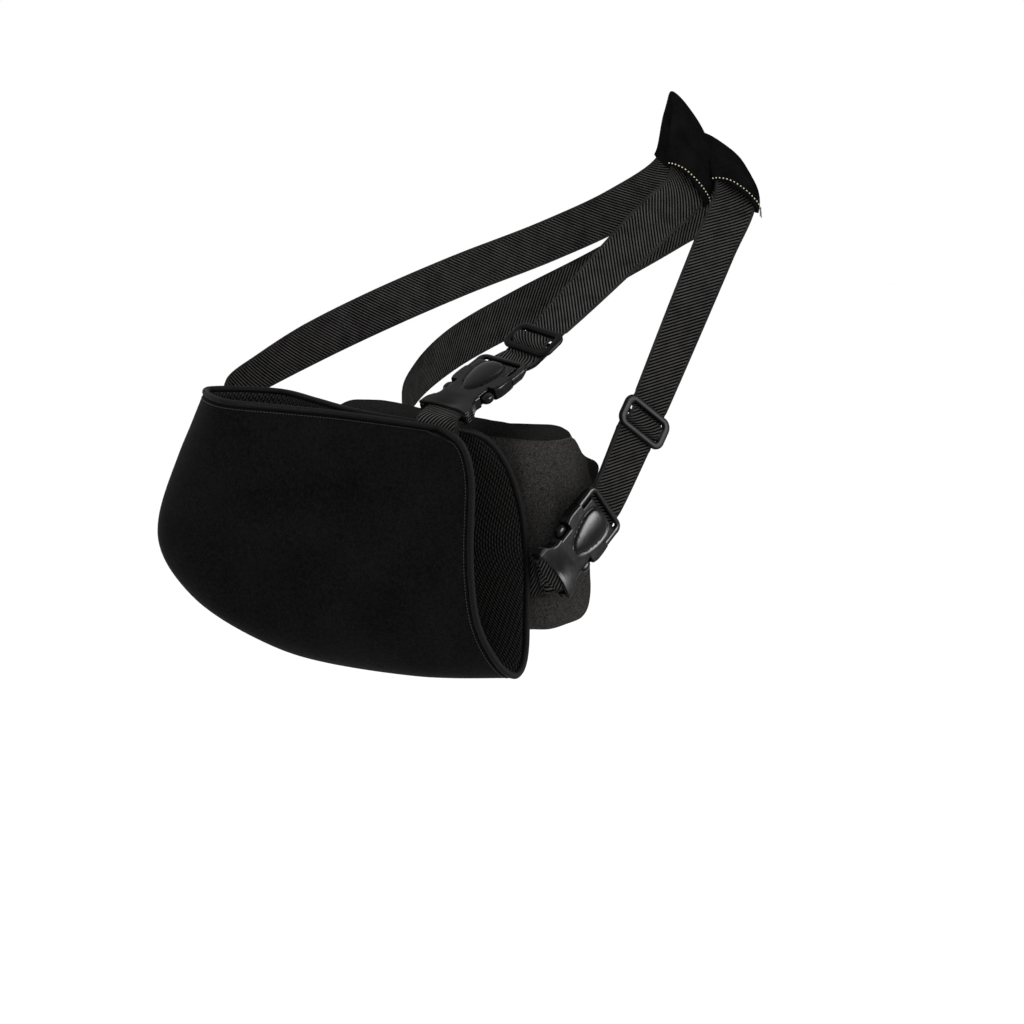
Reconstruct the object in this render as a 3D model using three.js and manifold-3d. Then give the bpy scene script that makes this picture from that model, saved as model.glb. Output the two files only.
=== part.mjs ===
import * as THREE from "three";
import { mergeVertices } from "three/addons/utils/BufferGeometryUtils.js";
import Module from "manifold-3d";

// Abduction arm sling, held in the form it has when worn.
// Millimetres, +Z up. The forearm pouch runs along X with its hand end at +X.
// The origin is the seat under the shoulder pad.

const wasm = await Module();
wasm.setup();

// Driving dimensions
const FOREARM_TURN = Math.PI / 6;
const CLEARANCE = 0.4;
const WEBBING = { width: 38, thickness: 1.8 };
const POUCH = {
  wall: 3, halfWidth: 44, elbowRound: 75, elbowReach: 290, fullestAt: 0.6,
  alongSteps: 20, alongPower: 1.5, downSteps: 16, fullWallAt: 6,
};
const BINDING = { radius: 2.3, sides: 6 };
const PILLOW = { ringPoints: 40, middleY: 92, middleZ: -85 };
const STEPS_PER_ROW = 3;
const EAR = { x: 74, y: 130, z: -40, spread: 11, reach: 11 };
const PAD = { width: 44.5, thickness: 9, tunnelWidth: 39.4, tunnelHeight: 3.2, ringPoints: 16 };
const BUCKLE = {
  thickness: 11, barRadius: 1.9, slotHalf: 20.3, tailBarZ: -2.6, plugBarX: 60.5, plugBarZ: -1.2,
};
const SOCKET = {
  cavity: { from: 22, to: 54, half: 20, high: 3.4 },
  tail: { from: -6, to: 7, roof: 2.6 },
  dome: { x: 41, long: 11, wide: 8, high: 3, sunk: 0.9 },
};
const PLUG = {
  thickness: 8.4, slotFrom: 55.8, slotTo: 71, endTo: 76, barUnderside: 0.4, prongThickness: 5.6,
  tongue: { from: 40, to: 53.5, half: 4, high: 2.4 },
};
const ADJUSTER = {
  length: 27, width: 50, thickness: 3.2, corner: 8,
  slotLength: 7.5, slotWidth: 41, slotCentre: 5.6, slotCorner: 1.5,
};

const vec = (x, y, z) => new THREE.Vector3(x, y, z);
const EAR_WAY = vec(0.5, 0.75, 0.43);

// Turns rows of numbers into rows with named columns.
const table = (columns, rows) =>
  rows.map((row) => Object.fromEntries(columns.map((column, i) => [column, row[i]])));

// The pouch outline in its own frame, seen from the side; the tab at the top of the hand end is x 0, z 0.
const ELBOW_EDGE = table(["x", "z"], [
  [-223, 16], [-235, -8], [-250, -38], [-270, -88], [-267, -120], [-241, -150], [-198, -175],
]);
const MOUTH_EDGE = table(["x", "z"], [
  [6, 0], [32, -8], [46, -29], [52, -60], [55, -105], [59, -150], [70, -191],
]);
const TOP_EDGE = table(["x", "z"], [[-223, 16], [-150, 11], [-70, 5], [6, 0]]);
const KEEL_EDGE = table(["x", "z"], [[-198, -175], [-123, -197], [-16, -200], [70, -191]]);

// Half the width of the open top at equal steps from the elbow to the tab.
const TOP_GAPE = [30, 40, 27, 12, 7.5, 6.5];

// The pillow's cross-section, from the near face round the bottom, the body side and the crowned top.
const PILLOW_SECTION = table(["y", "z"], [
  [53, -24], [52.5, -60], [52.5, -120], [53, -152], [58, -168], [92, -172], [126, -169], [134, -154],
  [135, -115], [135, -75], [133, -50], [119, -29], [99, -6], [79, 4], [61, 1],
]);
// Sections along the pillow: where each stands, how far it draws in and how much higher its top is.
const PILLOW_ROWS = table(["x", "drawIn", "lift"], [
  [-158, 24, 0], [-155, 14, 3], [-148, 6, 7], [-136, 2, 9], [-110, 0, 9], [-68, 0, 6], [-25, 0, 3],
  [20, 0, 0], [52, 0, 0], [66, 0.6, 0], [73, 3, 0], [76.5, 7, 0], [77.5, 12, 0],
]);

// Where the pouch tab stands and how the hardware lies, in the worn frame (X to the side, -Y ahead).
const ARM_PLACE = vec(-222.9, -245, -225.7);
const HARDWARE = {
  pouchBuckle: {
    at: vec(-214.3, -236.1, -210.6), along: vec(0.625, 0.658, 0.422), outward: vec(-0.11, -0.32, 0.94),
  },
  pouchAdjuster: {
    at: vec(-145.9, -172, -162.7), along: vec(0.644, 0.506, 0.574), outward: vec(-0.31, -0.49, 0.82),
  },
  pillowBuckle: {
    at: vec(-130.4, -248.8, -338.7), along: vec(0.566, 0.529, 0.634), outward: vec(0.67, -0.74, 0.02),
  },
  pillowAdjuster: {
    at: vec(-55.7, -172, -229.4), along: vec(0.4, 0.47, 0.79), outward: vec(0.6, -0.77, 0.15),
  },
};

// Strap routes in the worn frame; across points from one selvage to the other.
const ROUTE = ["x", "y", "z", "acrossX", "acrossY", "acrossZ"];
const POUCH_STRAP_BACK = table(ROUTE, [
  [-408, -84, -219, -0.3, 0.17, -0.93], [-385, -45, -206, -0.2, 0.1, -0.95], [-343, 8, -185, 0, 0, -1],
  [-283, 58, -159, 0.12, -0.06, -0.96], [-210, 95, -130, 0.28, -0.1, -0.94],
  [-130, 110, -100, 0.38, -0.06, -0.92], [-65, 99, -69, 0.45, 0.05, -0.88],
]);
const POUCH_STRAP_PAD = table(ROUTE, [
  [-18, 66, -33, 0.66, 0, -0.75], [-12.5, 38, 4, 0.64, 0, -0.77], [-12.5, 0, 18, 0.6, 0, -0.8],
  [-11, -38, 2, 0.64, 0, -0.77], [-15, -67, -43, 0.72, -0.02, -0.69],
]);
const PILLOW_STRAP_BACK = table(ROUTE, [
  [-258, -28, -246, 0, 0.34, -0.94], [-250, 34, -223, 0.05, 0.33, -0.94], [-216, 84, -196, 0.2, 0.2, -0.95],
  [-153, 115, -163, 0.35, 0.05, -0.93], [-82, 118, -127, 0.42, 0, -0.9], [-17, 98, -88, 0.55, 0, -0.83],
]);
const PILLOW_STRAP_PAD = table(ROUTE, [
  [28, 66, -56, 0.8, 0, -0.6], [22, 38, -26, 0.82, 0, -0.57], [18, 0, -12.5, 0.82, 0, -0.57],
  [23, -38, -27, 0.82, 0, -0.57], [26, -64, -51.5, 0.84, -0.04, -0.54],
]);

// How a strap end goes through its slide (side 1 is the outer face) and round the plug bar.
const SLIDE_WAY = table(["x", "side"], [
  [20, -1], [12, -1], [8.4, -1], [2.9, 1], [-2.9, 1], [-8.4, -1], [-13, -1], [-18, -1],
]);
const DOUBLED_WAY = [-18, -13, -4];
const PLUG_WAY = table(["x", "zIn", "zOut"], [[80, -1.9, -4.4], [73, -1.6, -4.2]]);
// The layers of the pouch tab in the pouch's frame.
const POUCH_TAB_OUTER = table(["y", "z"], [[-1.4, -30], [-1.4, -10], [-1.2, 3], [1, 9.8]]);
const POUCH_TAB_INNER = table(["y", "z"], [[2.6, 7.6], [1.4, 2], [1.4, -10], [1.4, -30]]);
// The pillow tab back from its bar: how flat it lies to the pillow, how far it moves over and half its fold.
const PILLOW_TAB_WAY = table(["back", "flat", "over", "halfFold"], [
  [5, 0, 0, 3.4], [7.5, 0.35, 0, 2.6], [10, 0.85, 0.2, 1.7], [12.3, 1, 1.7, 1.3], [14.5, 1, 4, 1.2],
  [17, 1, 5, 1.2], [25, 1, 5, 1.2], [38, 1, 5, 1.2], [52, 1, 5, 1.2],
]);
// Where each tab meets the tail bar, in degrees, and the straight stretch that leads to it.
const TAB_START = { pouch: 90, pillow: 157.5 };
const TAB_LEAD = 3;

// Outlines of the buckle halves in plan; x runs from the tail bar to the strap end.
const SOCKET_SIDE = table(["x", "half"], [
  [-5, 24.5], [3, 24], [9, 20.5], [14, 18.5], [19, 19], [19.4, 17], [33, 17], [33.4, 23.5],
  [38, 25], [46, 25.2], [52, 24.6],
]);
const PLUG_SIDE = table(["x", "half"], [[52.6, 24.4], [58, 25], [70, 24.6], [75, 23.2]]);
const PRONG_SIDE = table(["x", "y"], [
  [53.5, 9.5], [53.5, 15.5], [36, 15.5], [32.2, 17.4], [32, 22.6], [26, 22.2],
  [22.8, 17.6], [23, 12], [30, 9.5],
]);

// Joins triangles into one surface and turns it to face out.
function surface(points, triangles) {
  const geometry = new THREE.BufferGeometry();
  const flat = points.flatMap((p) => [p.x, p.y, p.z]);
  geometry.setAttribute("position", new THREE.Float32BufferAttribute(flat, 3));
  let volume = 0;
  for (const [a, b, c] of triangles) {
    volume += points[a].dot(vec(0, 0, 0).crossVectors(points[b], points[c]));
  }
  const turned = volume < 0 ? triangles.map(([a, b, c]) => [a, c, b]) : triangles;
  geometry.setIndex(turned.flat());
  return mergeVertices(geometry, 1e-4);
}

// Joins equal rings of points into one closed body; a looped body has no ends to cap.
function loft(rings, looped = false) {
  const count = rings[0].length;
  const points = rings.flat();
  const triangles = [];
  const spans = looped ? rings.length : rings.length - 1;
  for (let i = 0; i < spans; i += 1) {
    const here = i * count;
    const next = ((i + 1) % rings.length) * count;
    for (let j = 0; j < count; j += 1) {
      const k = (j + 1) % count;
      triangles.push([here + j, here + k, next + k], [here + j, next + k, next + j]);
    }
  }
  if (!looped) {
    capRing(points, triangles, rings[0], 0, true);
    capRing(points, triangles, rings.at(-1), (rings.length - 1) * count, false);
  }
  return surface(points, triangles);
}

// Closes one end of a loft with a fan from the middle of its ring.
function capRing(points, triangles, ring, start, first) {
  const middle = ring.reduce((sum, p) => sum.add(p), vec(0, 0, 0)).divideScalar(ring.length);
  const hub = points.push(middle) - 1;
  ring.forEach((_, j) => {
    const here = start + j;
    const next = start + ((j + 1) % ring.length);
    triangles.push(first ? [hub, next, here] : [hub, here, next]);
  });
}

function toManifold(geometry) {
  const bare = geometry.clone();
  for (const name of Object.keys(bare.attributes)) {
    if (name !== "position") bare.deleteAttribute(name);
  }
  const merged = mergeVertices(bare, 1e-4);
  return new wasm.Manifold(new wasm.Mesh({
    numProp: 3,
    vertProperties: new Float32Array(merged.attributes.position.array),
    triVerts: new Uint32Array(merged.index.array),
  }));
}

function fromManifold(body) {
  const mesh = body.getMesh();
  const geometry = new THREE.BufferGeometry();
  const positions = [];
  for (let i = 0; i < mesh.vertProperties.length; i += mesh.numProp) {
    positions.push(...mesh.vertProperties.slice(i, i + 3));
  }
  geometry.setAttribute("position", new THREE.Float32BufferAttribute(positions, 3));
  geometry.setIndex(Array.from(mesh.triVerts));
  return geometry;
}

function material(color, roughness) {
  return new THREE.MeshStandardMaterial({ color, roughness, metalness: 0 });
}

function piece(name, geometry, color, roughness) {
  const mesh = new THREE.Mesh(geometry, material(color, roughness));
  mesh.name = name;
  return mesh;
}

// A frame whose x runs along, z faces out and y lies across.
function frameFrom({ at, along, outward }) {
  const x = along.clone().normalize();
  const z = outward.clone().addScaledVector(x, -outward.dot(x)).normalize();
  const y = vec(0, 0, 0).crossVectors(z, x);
  return new THREE.Matrix4().makeBasis(x, y, z).setPosition(at);
}

const armFrame = new THREE.Matrix4().makeRotationZ(-FOREARM_TURN).setPosition(ARM_PLACE);

// Forearm pouch

function edgeCurve(rows) {
  return new THREE.SplineCurve(rows.map((row) => new THREE.Vector2(row.x, row.z)));
}

const pouchEdges = {
  elbow: edgeCurve(ELBOW_EDGE),
  mouth: edgeCurve(MOUTH_EDGE),
  top: edgeCurve(TOP_EDGE),
  keel: edgeCurve(KEEL_EDGE),
};
const topGape = new THREE.SplineCurve(TOP_GAPE.map((half, i) => new THREE.Vector2(i, half)));

// The side view of the pouch: a patch stretched between its four edges.
function sidePoint(p, s) {
  const { elbow, mouth, top, keel } = pouchEdges;
  const across = elbow.getPointAt(s).multiplyScalar(1 - p).addScaledVector(mouth.getPointAt(s), p);
  const down = top.getPointAt(p).multiplyScalar(1 - s).addScaledVector(keel.getPointAt(p), s);
  const corners = elbow.getPointAt(0).multiplyScalar((1 - p) * (1 - s))
    .addScaledVector(mouth.getPointAt(0), p * (1 - s))
    .addScaledVector(elbow.getPointAt(1), (1 - p) * s)
    .addScaledVector(mouth.getPointAt(1), p * s);
  return across.add(down).sub(corners);
}

// Half the width of the pouch: round at the elbow and keel, narrow along the open top.
function pouchHalfWidth(p, s) {
  const rise = Math.min(1, (p * POUCH.elbowReach) / POUCH.elbowRound);
  const elbow = Math.sqrt(1 - (1 - rise) ** 2);
  if (s > POUCH.fullestAt) {
    const fall = (s - POUCH.fullestAt) / (1 - POUCH.fullestAt);
    return POUCH.halfWidth * elbow * Math.sqrt(Math.max(0, 1 - fall * fall));
  }
  const open = topGape.getPoint(p).y;
  const swell = Math.sin((Math.PI / 2) * (s / POUCH.fullestAt));
  return elbow * (open + (POUCH.halfWidth - open) * swell);
}

// A point of the pouch wall; the inner skin is drawn in by the wall from the elbow, keel and sides.
function pouchPoint(p, s, side, inner) {
  const flat = sidePoint(p, s);
  let half = pouchHalfWidth(p, s);
  if (inner) {
    flat.x += POUCH.wall * (1 - p);
    flat.y += POUCH.wall * s;
    half = Math.max(0, half - POUCH.wall * Math.min(1, half / POUCH.fullWallAt));
  }
  return vec(flat.x, side * half, flat.y);
}

// Equal shares from 0 to 1, spread by a rule.
const shares = (steps, rule) => Array.from({ length: steps + 1 }, (_, i) => rule(i / steps));
const pouchAlong = shares(POUCH.alongSteps, (share) => share ** POUCH.alongPower);
const pouchDown = shares(POUCH.downSteps, (share) => Math.sin((Math.PI / 2) * share));

// One wall of the pouch, seamed to the other along the elbow and the keel.
function pouchWall(side) {
  const points = [];
  const triangles = [];
  const columns = pouchDown.length;
  const grid = (inner) => {
    const start = points.length;
    const seam = vec(0, (side * CLEARANCE) / 2, 0);
    pouchAlong.forEach((p) => pouchDown.forEach((s) => points.push(pouchPoint(p, s, side, inner).add(seam))));
    return (i, j) => start + i * columns + j;
  };
  const quad = (a, b, c, d) => triangles.push([a, b, c], [a, c, d]);
  const outer = grid(false);
  const inner = grid(true);
  const lastAlong = pouchAlong.length - 1;
  const lastDown = columns - 1;
  for (let i = 0; i < lastAlong; i += 1) {
    for (let j = 0; j < lastDown; j += 1) {
      quad(outer(i, j), outer(i, j + 1), outer(i + 1, j + 1), outer(i + 1, j));
      quad(inner(i, j), inner(i + 1, j), inner(i + 1, j + 1), inner(i, j + 1));
    }
    quad(outer(i, 0), outer(i + 1, 0), inner(i + 1, 0), inner(i, 0));
    quad(outer(i + 1, lastDown), outer(i, lastDown), inner(i, lastDown), inner(i + 1, lastDown));
  }
  for (let j = 0; j < lastDown; j += 1) {
    quad(outer(lastAlong, j), outer(lastAlong, j + 1), inner(lastAlong, j + 1), inner(lastAlong, j));
    quad(outer(0, j + 1), outer(0, j), inner(0, j), inner(0, j + 1));
  }
  return surface(points, triangles);
}

// The bound edge: a bead that follows the open top and the mouth of both walls in one loop.
function pouchBinding() {
  const { top, mouth } = pouchEdges;
  const corner = top.getTangentAt(1).add(mouth.getTangentAt(0));
  const stations = [
    ...pouchAlong.slice(1, -1).map((p) => ({ p, s: 0, along: top.getTangentAt(p) })),
    { p: 1, s: 0, along: corner },
    ...pouchDown.slice(1, -1).map((s) => ({ p: 1, s, along: mouth.getTangentAt(s) })),
  ];
  const front = stations.map((station) => bindingStation(station, -1));
  const back = stations.map((station) => bindingStation(station, 1)).reverse();
  const elbow = bindingStation({ p: 0, s: 0, along: top.getTangentAt(0) }, 0);
  const keel = bindingStation({ p: 1, s: 1, along: mouth.getTangentAt(1) }, 0);
  const loop = [elbow, ...front, keel, ...back];
  return loft(loop.map((station, i) => beadRing(station, loop.at(i - 1), loop[(i + 1) % loop.length])), true);
}

// Where the bead stands off the rim, square to the edge in the side view.
function bindingStation({ p, s, along }, side) {
  const corners = [pouchPoint(p, s, side, false), pouchPoint(p, s, side, true)];
  const rim = corners[0].clone().add(corners[1]).multiplyScalar(0.5);
  const outward = vec(-along.y, 0, along.x).normalize();
  const lip = Math.max(...corners.map((corner) => corner.clone().sub(rim).dot(outward)));
  return { at: rim.addScaledVector(outward, BINDING.radius + CLEARANCE + lip), outward };
}

function beadRing({ at, outward }, before, after) {
  const along = after.at.clone().sub(before.at).normalize();
  const side = vec(0, 0, 0).crossVectors(along, outward).normalize();
  const up = vec(0, 0, 0).crossVectors(side, along);
  return Array.from({ length: BINDING.sides }, (_, i) => {
    const angle = (2 * Math.PI * i) / BINDING.sides;
    return at.clone()
      .addScaledVector(up, BINDING.radius * Math.cos(angle))
      .addScaledVector(side, BINDING.radius * Math.sin(angle));
  });
}

// Abduction pillow: a crowned block with rounded ends and a small ear at one top corner of the hand end.
function abductionPillow() {
  const section = new THREE.CatmullRomCurve3(PILLOW_SECTION.map(({ y, z }) => vec(0, y, z)), true);
  const outline = section.getSpacedPoints(PILLOW.ringPoints).slice(0, -1);
  const size = new THREE.Box3().setFromPoints(outline).getSize(vec(0, 0, 0));
  return loft(PILLOW_ROWS.map(({ x, drawIn, lift }) => outline.map(({ y, z }) => {
    const upper = THREE.MathUtils.smoothstep(z, PILLOW.middleZ, 0);
    const point = vec(
      x,
      PILLOW.middleY + (y - PILLOW.middleY) * (1 - (2 * drawIn) / size.y),
      PILLOW.middleZ + (z - PILLOW.middleZ) * (1 - (2 * drawIn) / size.z) + lift * upper,
    );
    return point.addScaledVector(EAR_WAY, earReach(point));
  })));
}

// How far the gathered corner of the cover stands out at a point.
function earReach({ x, y, z }) {
  const away = (x - EAR.x) ** 2 + (y - EAR.y) ** 2 + (z - EAR.z) ** 2;
  return EAR.reach * Math.exp(-away / (2 * EAR.spread ** 2));
}

// Webbing

// A route as two smooth curves: where the webbing runs and how it lies across.
function route(rows) {
  const at = new THREE.CatmullRomCurve3(rows.map((row) => row.at), false, "centripetal");
  const across = new THREE.CatmullRomCurve3(rows.map((row) => row.across), false, "centripetal");
  return { at, across, rows: rows.length };
}

function wornRow({ x, y, z, acrossX, acrossY, acrossZ }) {
  return { at: vec(x, y, z), across: vec(acrossX, acrossY, acrossZ).normalize() };
}

// A row given in another frame, lying across that frame's y unless told otherwise.
function rowIn(frame, x, y, z, across = vec(0, -1, 0)) {
  return { at: vec(x, y, z).applyMatrix4(frame), across: across.clone().transformDirection(frame) };
}

function routeFrame({ at, across }, t) {
  const origin = at.getPoint(t);
  const step = 1e-4;
  const ahead = at.getPoint(Math.min(1, t + step));
  const behind = at.getPoint(Math.max(0, t - step));
  const along = ahead.sub(behind).normalize();
  const wide = across.getPoint(t);
  wide.addScaledVector(along, -wide.dot(along)).normalize();
  const outward = vec(0, 0, 0).crossVectors(along, wide);
  return { origin, wide, outward };
}

function flatRing({ origin, wide, outward }, width, thickness) {
  return [[-1, -1], [1, -1], [1, 1], [-1, 1]].map(([u, v]) => origin.clone()
    .addScaledVector(wide, (u * width) / 2)
    .addScaledVector(outward, (v * thickness) / 2));
}

// Frames at equal steps between two rows of a route.
function framesBetween(path, first, last) {
  const steps = Math.round((last - first) * STEPS_PER_ROW);
  return Array.from({ length: steps + 1 }, (_, i) =>
    routeFrame(path, (first + i / STEPS_PER_ROW) / (path.rows - 1)));
}

function ribbon(path) {
  const rings = framesBetween(path, 0, path.rows - 1)
    .map((frame) => flatRing(frame, WEBBING.width, WEBBING.thickness));
  return loft(rings);
}

// Half a turn of webbing round a bar, starting at an angle above the bar's tail or strap side.
function wrapRows(frame, barX, barZ, turn, start = 90) {
  const radius = BUCKLE.barRadius + CLEARANCE + WEBBING.thickness / 2;
  return [0, 45, 90, 135, 180].map((degrees) => {
    const angle = THREE.MathUtils.degToRad(start - degrees);
    return rowIn(frame, barX + turn * radius * Math.cos(angle), 0, barZ + radius * Math.sin(angle));
  });
}

// The strap end: straight to the adjuster, through it, round the plug bar and doubled back.
function strapEnd(mouth, adjuster, buckle) {
  const under = -(ADJUSTER.thickness / 2 + CLEARANCE + WEBBING.thickness / 2);
  const doubled = under - WEBBING.thickness - 2 * CLEARANCE;
  const slideRows = SLIDE_WAY.map(({ x, side }) => rowIn(adjuster, x, 0, -side * under));
  const arrival = slideRows[0];
  const straight = [0.25, 0.6].map((share) => ({
    at: mouth.at.clone().lerp(arrival.at, share),
    across: mouth.across.clone().lerp(arrival.across, share).normalize(),
  }));
  return [
    ...straight, ...slideRows,
    ...PLUG_WAY.map(({ x, zIn }) => rowIn(buckle, x, 0, zIn)),
    ...wrapRows(buckle, BUCKLE.plugBarX, BUCKLE.plugBarZ, -1),
    ...PLUG_WAY.map(({ x, zOut }) => rowIn(buckle, x, 0, zOut)).reverse(),
    ...DOUBLED_WAY.map((x) => rowIn(adjuster, x, 0, doubled)),
  ];
}

// A folded tab: two layers from where it is sewn, straight on to the socket's tail bar and round it.
function foldedTab(outerRows, buckle, innerRows, start) {
  const wrap = wrapRows(buckle, 0, BUCKLE.tailBarZ, 1, start);
  const angle = THREE.MathUtils.degToRad(start);
  const back = vec(-Math.sin(angle), 0, Math.cos(angle)).transformDirection(buckle).multiplyScalar(TAB_LEAD);
  const lead = ({ at, across }) => ({ at: at.clone().add(back), across });
  return ribbon(route([...outerRows, lead(wrap[0]), ...wrap, lead(wrap.at(-1)), ...innerRows]));
}

// Shoulder pad: two padded tunnels side by side, one for each strap.
function padLobe({ path, first, last }) {
  const squared = (value, power) => Math.sign(value) * Math.abs(value) ** power;
  return loft(framesBetween(path, first, last).map(({ origin, wide, outward }) =>
    Array.from({ length: PAD.ringPoints }, (_, j) => {
      const angle = (2 * Math.PI * j) / PAD.ringPoints;
      return origin.clone()
        .addScaledVector(wide, (PAD.width / 2) * squared(Math.cos(angle), 0.6))
        .addScaledVector(outward, (PAD.thickness / 2) * squared(Math.sin(angle), 0.75));
    })));
}

function padTunnel({ path, first, last }) {
  const overrun = 1 / STEPS_PER_ROW;
  return loft(framesBetween(path, first - overrun, last + overrun)
    .map((frame) => flatRing(frame, PAD.tunnelWidth, PAD.tunnelHeight)));
}

function shoulderPad(lobes) {
  const [first, second] = lobes.map((lobe) => toManifold(padLobe(lobe)));
  const body = lobes.reduce((rest, lobe) => rest.subtract(toManifold(padTunnel(lobe))), first.add(second));
  return fromManifold(body);
}

// Hard fittings

function plate(outline, holes, thickness, bevel) {
  const shape = new THREE.Shape(outline.map(([x, y]) => new THREE.Vector2(x, y)));
  shape.holes = holes;
  const geometry = new THREE.ExtrudeGeometry(shape, {
    depth: thickness - 2 * bevel, bevelEnabled: bevel > 0, bevelThickness: bevel, bevelSize: bevel,
    bevelOffset: -bevel, bevelSegments: 1, curveSegments: 4,
  });
  return geometry.translate(0, 0, bevel - thickness / 2);
}

// A box between two x and two z planes, as wide on both sides of the middle.
function block(xFrom, xTo, yHalf, zFrom, zTo) {
  return new THREE.BoxGeometry(xTo - xFrom, 2 * yHalf, zTo - zFrom)
    .translate((xFrom + xTo) / 2, 0, (zFrom + zTo) / 2);
}

function crossBar(x, z, halfLength) {
  const { barRadius } = BUCKLE;
  return new THREE.CylinderGeometry(barRadius, barRadius, 2 * halfLength, 12).translate(x, 0, z);
}

const mirrored = (rows) => [
  ...rows.map(({ x, half }) => [x, half]),
  ...rows.map(({ x, half }) => [x, -half]).reverse(),
];

function buckleSocket() {
  const half = BUCKLE.thickness / 2;
  const { cavity, tail, dome } = SOCKET;
  const thumb = new THREE.SphereGeometry(1, 20, 10)
    .scale(dome.long, dome.wide, dome.high)
    .translate(dome.x, 0, half - dome.sunk);
  const below = block(dome.x - 2 * dome.long, dome.x + 2 * dome.long, 2 * dome.wide, -half, half - 1);
  const body = toManifold(plate(mirrored(SOCKET_SIDE), [], BUCKLE.thickness, 1))
    .subtract(toManifold(block(cavity.from, cavity.to, cavity.half, -cavity.high, cavity.high)))
    .subtract(toManifold(block(tail.from, tail.to, BUCKLE.slotHalf, -half - 1, tail.roof)))
    .add(toManifold(crossBar(0, BUCKLE.tailBarZ, BUCKLE.slotHalf + 1)))
    .add(toManifold(thumb).subtract(toManifold(below)));
  return fromManifold(body);
}

function bucklePlug() {
  const wide = BUCKLE.slotHalf;
  const { thickness, slotFrom, slotTo, endTo, barUnderside, prongThickness, tongue } = PLUG;
  let body = toManifold(plate(mirrored(PLUG_SIDE), [], thickness, 0.9))
    .subtract(toManifold(block(slotFrom, slotTo, wide, -thickness, thickness)))
    .subtract(toManifold(block(slotTo - 0.1, endTo, wide, -thickness, barUnderside)))
    .add(toManifold(crossBar(BUCKLE.plugBarX, BUCKLE.plugBarZ, wide + 1)))
    .add(toManifold(block(tongue.from, tongue.to, tongue.half, -tongue.high, tongue.high)));
  for (const side of [-1, 1]) {
    const outline = PRONG_SIDE.map(({ x, y }) => [x, side * y]);
    body = body.add(toManifold(plate(outline, [], prongThickness, 0.5)));
  }
  return fromManifold(body);
}

function roundedRectangle(path, xMiddle, length, width, corner) {
  const [x0, x1, y0, y1] = [xMiddle - length / 2, xMiddle + length / 2, -width / 2, width / 2];
  path.moveTo(x0 + corner, y0);
  path.lineTo(x1 - corner, y0);
  path.quadraticCurveTo(x1, y0, x1, y0 + corner);
  path.lineTo(x1, y1 - corner);
  path.quadraticCurveTo(x1, y1, x1 - corner, y1);
  path.lineTo(x0 + corner, y1);
  path.quadraticCurveTo(x0, y1, x0, y1 - corner);
  path.lineTo(x0, y0 + corner);
  path.quadraticCurveTo(x0, y0, x0 + corner, y0);
  return path;
}

function strapAdjuster() {
  const { length, width, thickness, corner, slotLength, slotWidth, slotCentre, slotCorner } = ADJUSTER;
  const outline = roundedRectangle(new THREE.Shape(), 0, length, width, corner);
  const holes = [-1, 1].map((side) =>
    roundedRectangle(new THREE.Path(), side * slotCentre, slotLength, slotWidth, slotCorner));
  return plate(outline.getPoints(4).map(({ x, y }) => [x, y]), holes, thickness, 0.6);
}

function placed(frame, ...meshes) {
  const group = new THREE.Group();
  group.applyMatrix4(frame);
  group.add(...meshes);
  return group;
}

// Assembly

const frames = Object.fromEntries(Object.entries(HARDWARE).map(([name, place]) => [name, frameFrom(place)]));

const elbowAcross = vec(-0.45, 0, -0.89);
const elbowTip = { x: -233, z: -3 };
const elbowRows = [[-1.6, 3], [-1.5, 12], [-1, 24]].map(([back, y]) =>
  rowIn(armFrame, elbowTip.x + back, y, elbowTip.z, elbowAcross));
const pouchPadRows = POUCH_STRAP_PAD.map(wornRow);
const pouchStrapRows = [
  ...elbowRows, ...POUCH_STRAP_BACK.map(wornRow), ...pouchPadRows,
  ...strapEnd(pouchPadRows.at(-1), frames.pouchAdjuster, frames.pouchBuckle),
];
const pouchStrapRoute = route(pouchStrapRows);
const pouchPadFirst = elbowRows.length + POUCH_STRAP_BACK.length;

const pillowSewnAcross = vec(-0.4, 0, -0.92);
const pillowSewnRows = [[-45, 137, -78], [-68, 137.2, -67], [-90, 138.4, -57]].map(([x, y, z]) =>
  rowIn(armFrame, x, y, z, pillowSewnAcross));
const pillowPadRows = PILLOW_STRAP_PAD.map(wornRow);
const pillowStrapRows = [
  ...pillowSewnRows, ...PILLOW_STRAP_BACK.map(wornRow), ...pillowPadRows,
  ...strapEnd(pillowPadRows.at(-1), frames.pillowAdjuster, frames.pillowBuckle),
];
const pillowStrapRoute = route(pillowStrapRows);
const pillowPadFirst = pillowSewnRows.length + PILLOW_STRAP_BACK.length;

const padLobes = [
  { path: pouchStrapRoute, first: pouchPadFirst, last: pouchPadFirst + POUCH_STRAP_PAD.length - 1 },
  { path: pillowStrapRoute, first: pillowPadFirst, last: pillowPadFirst + PILLOW_STRAP_PAD.length - 1 },
];

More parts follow.
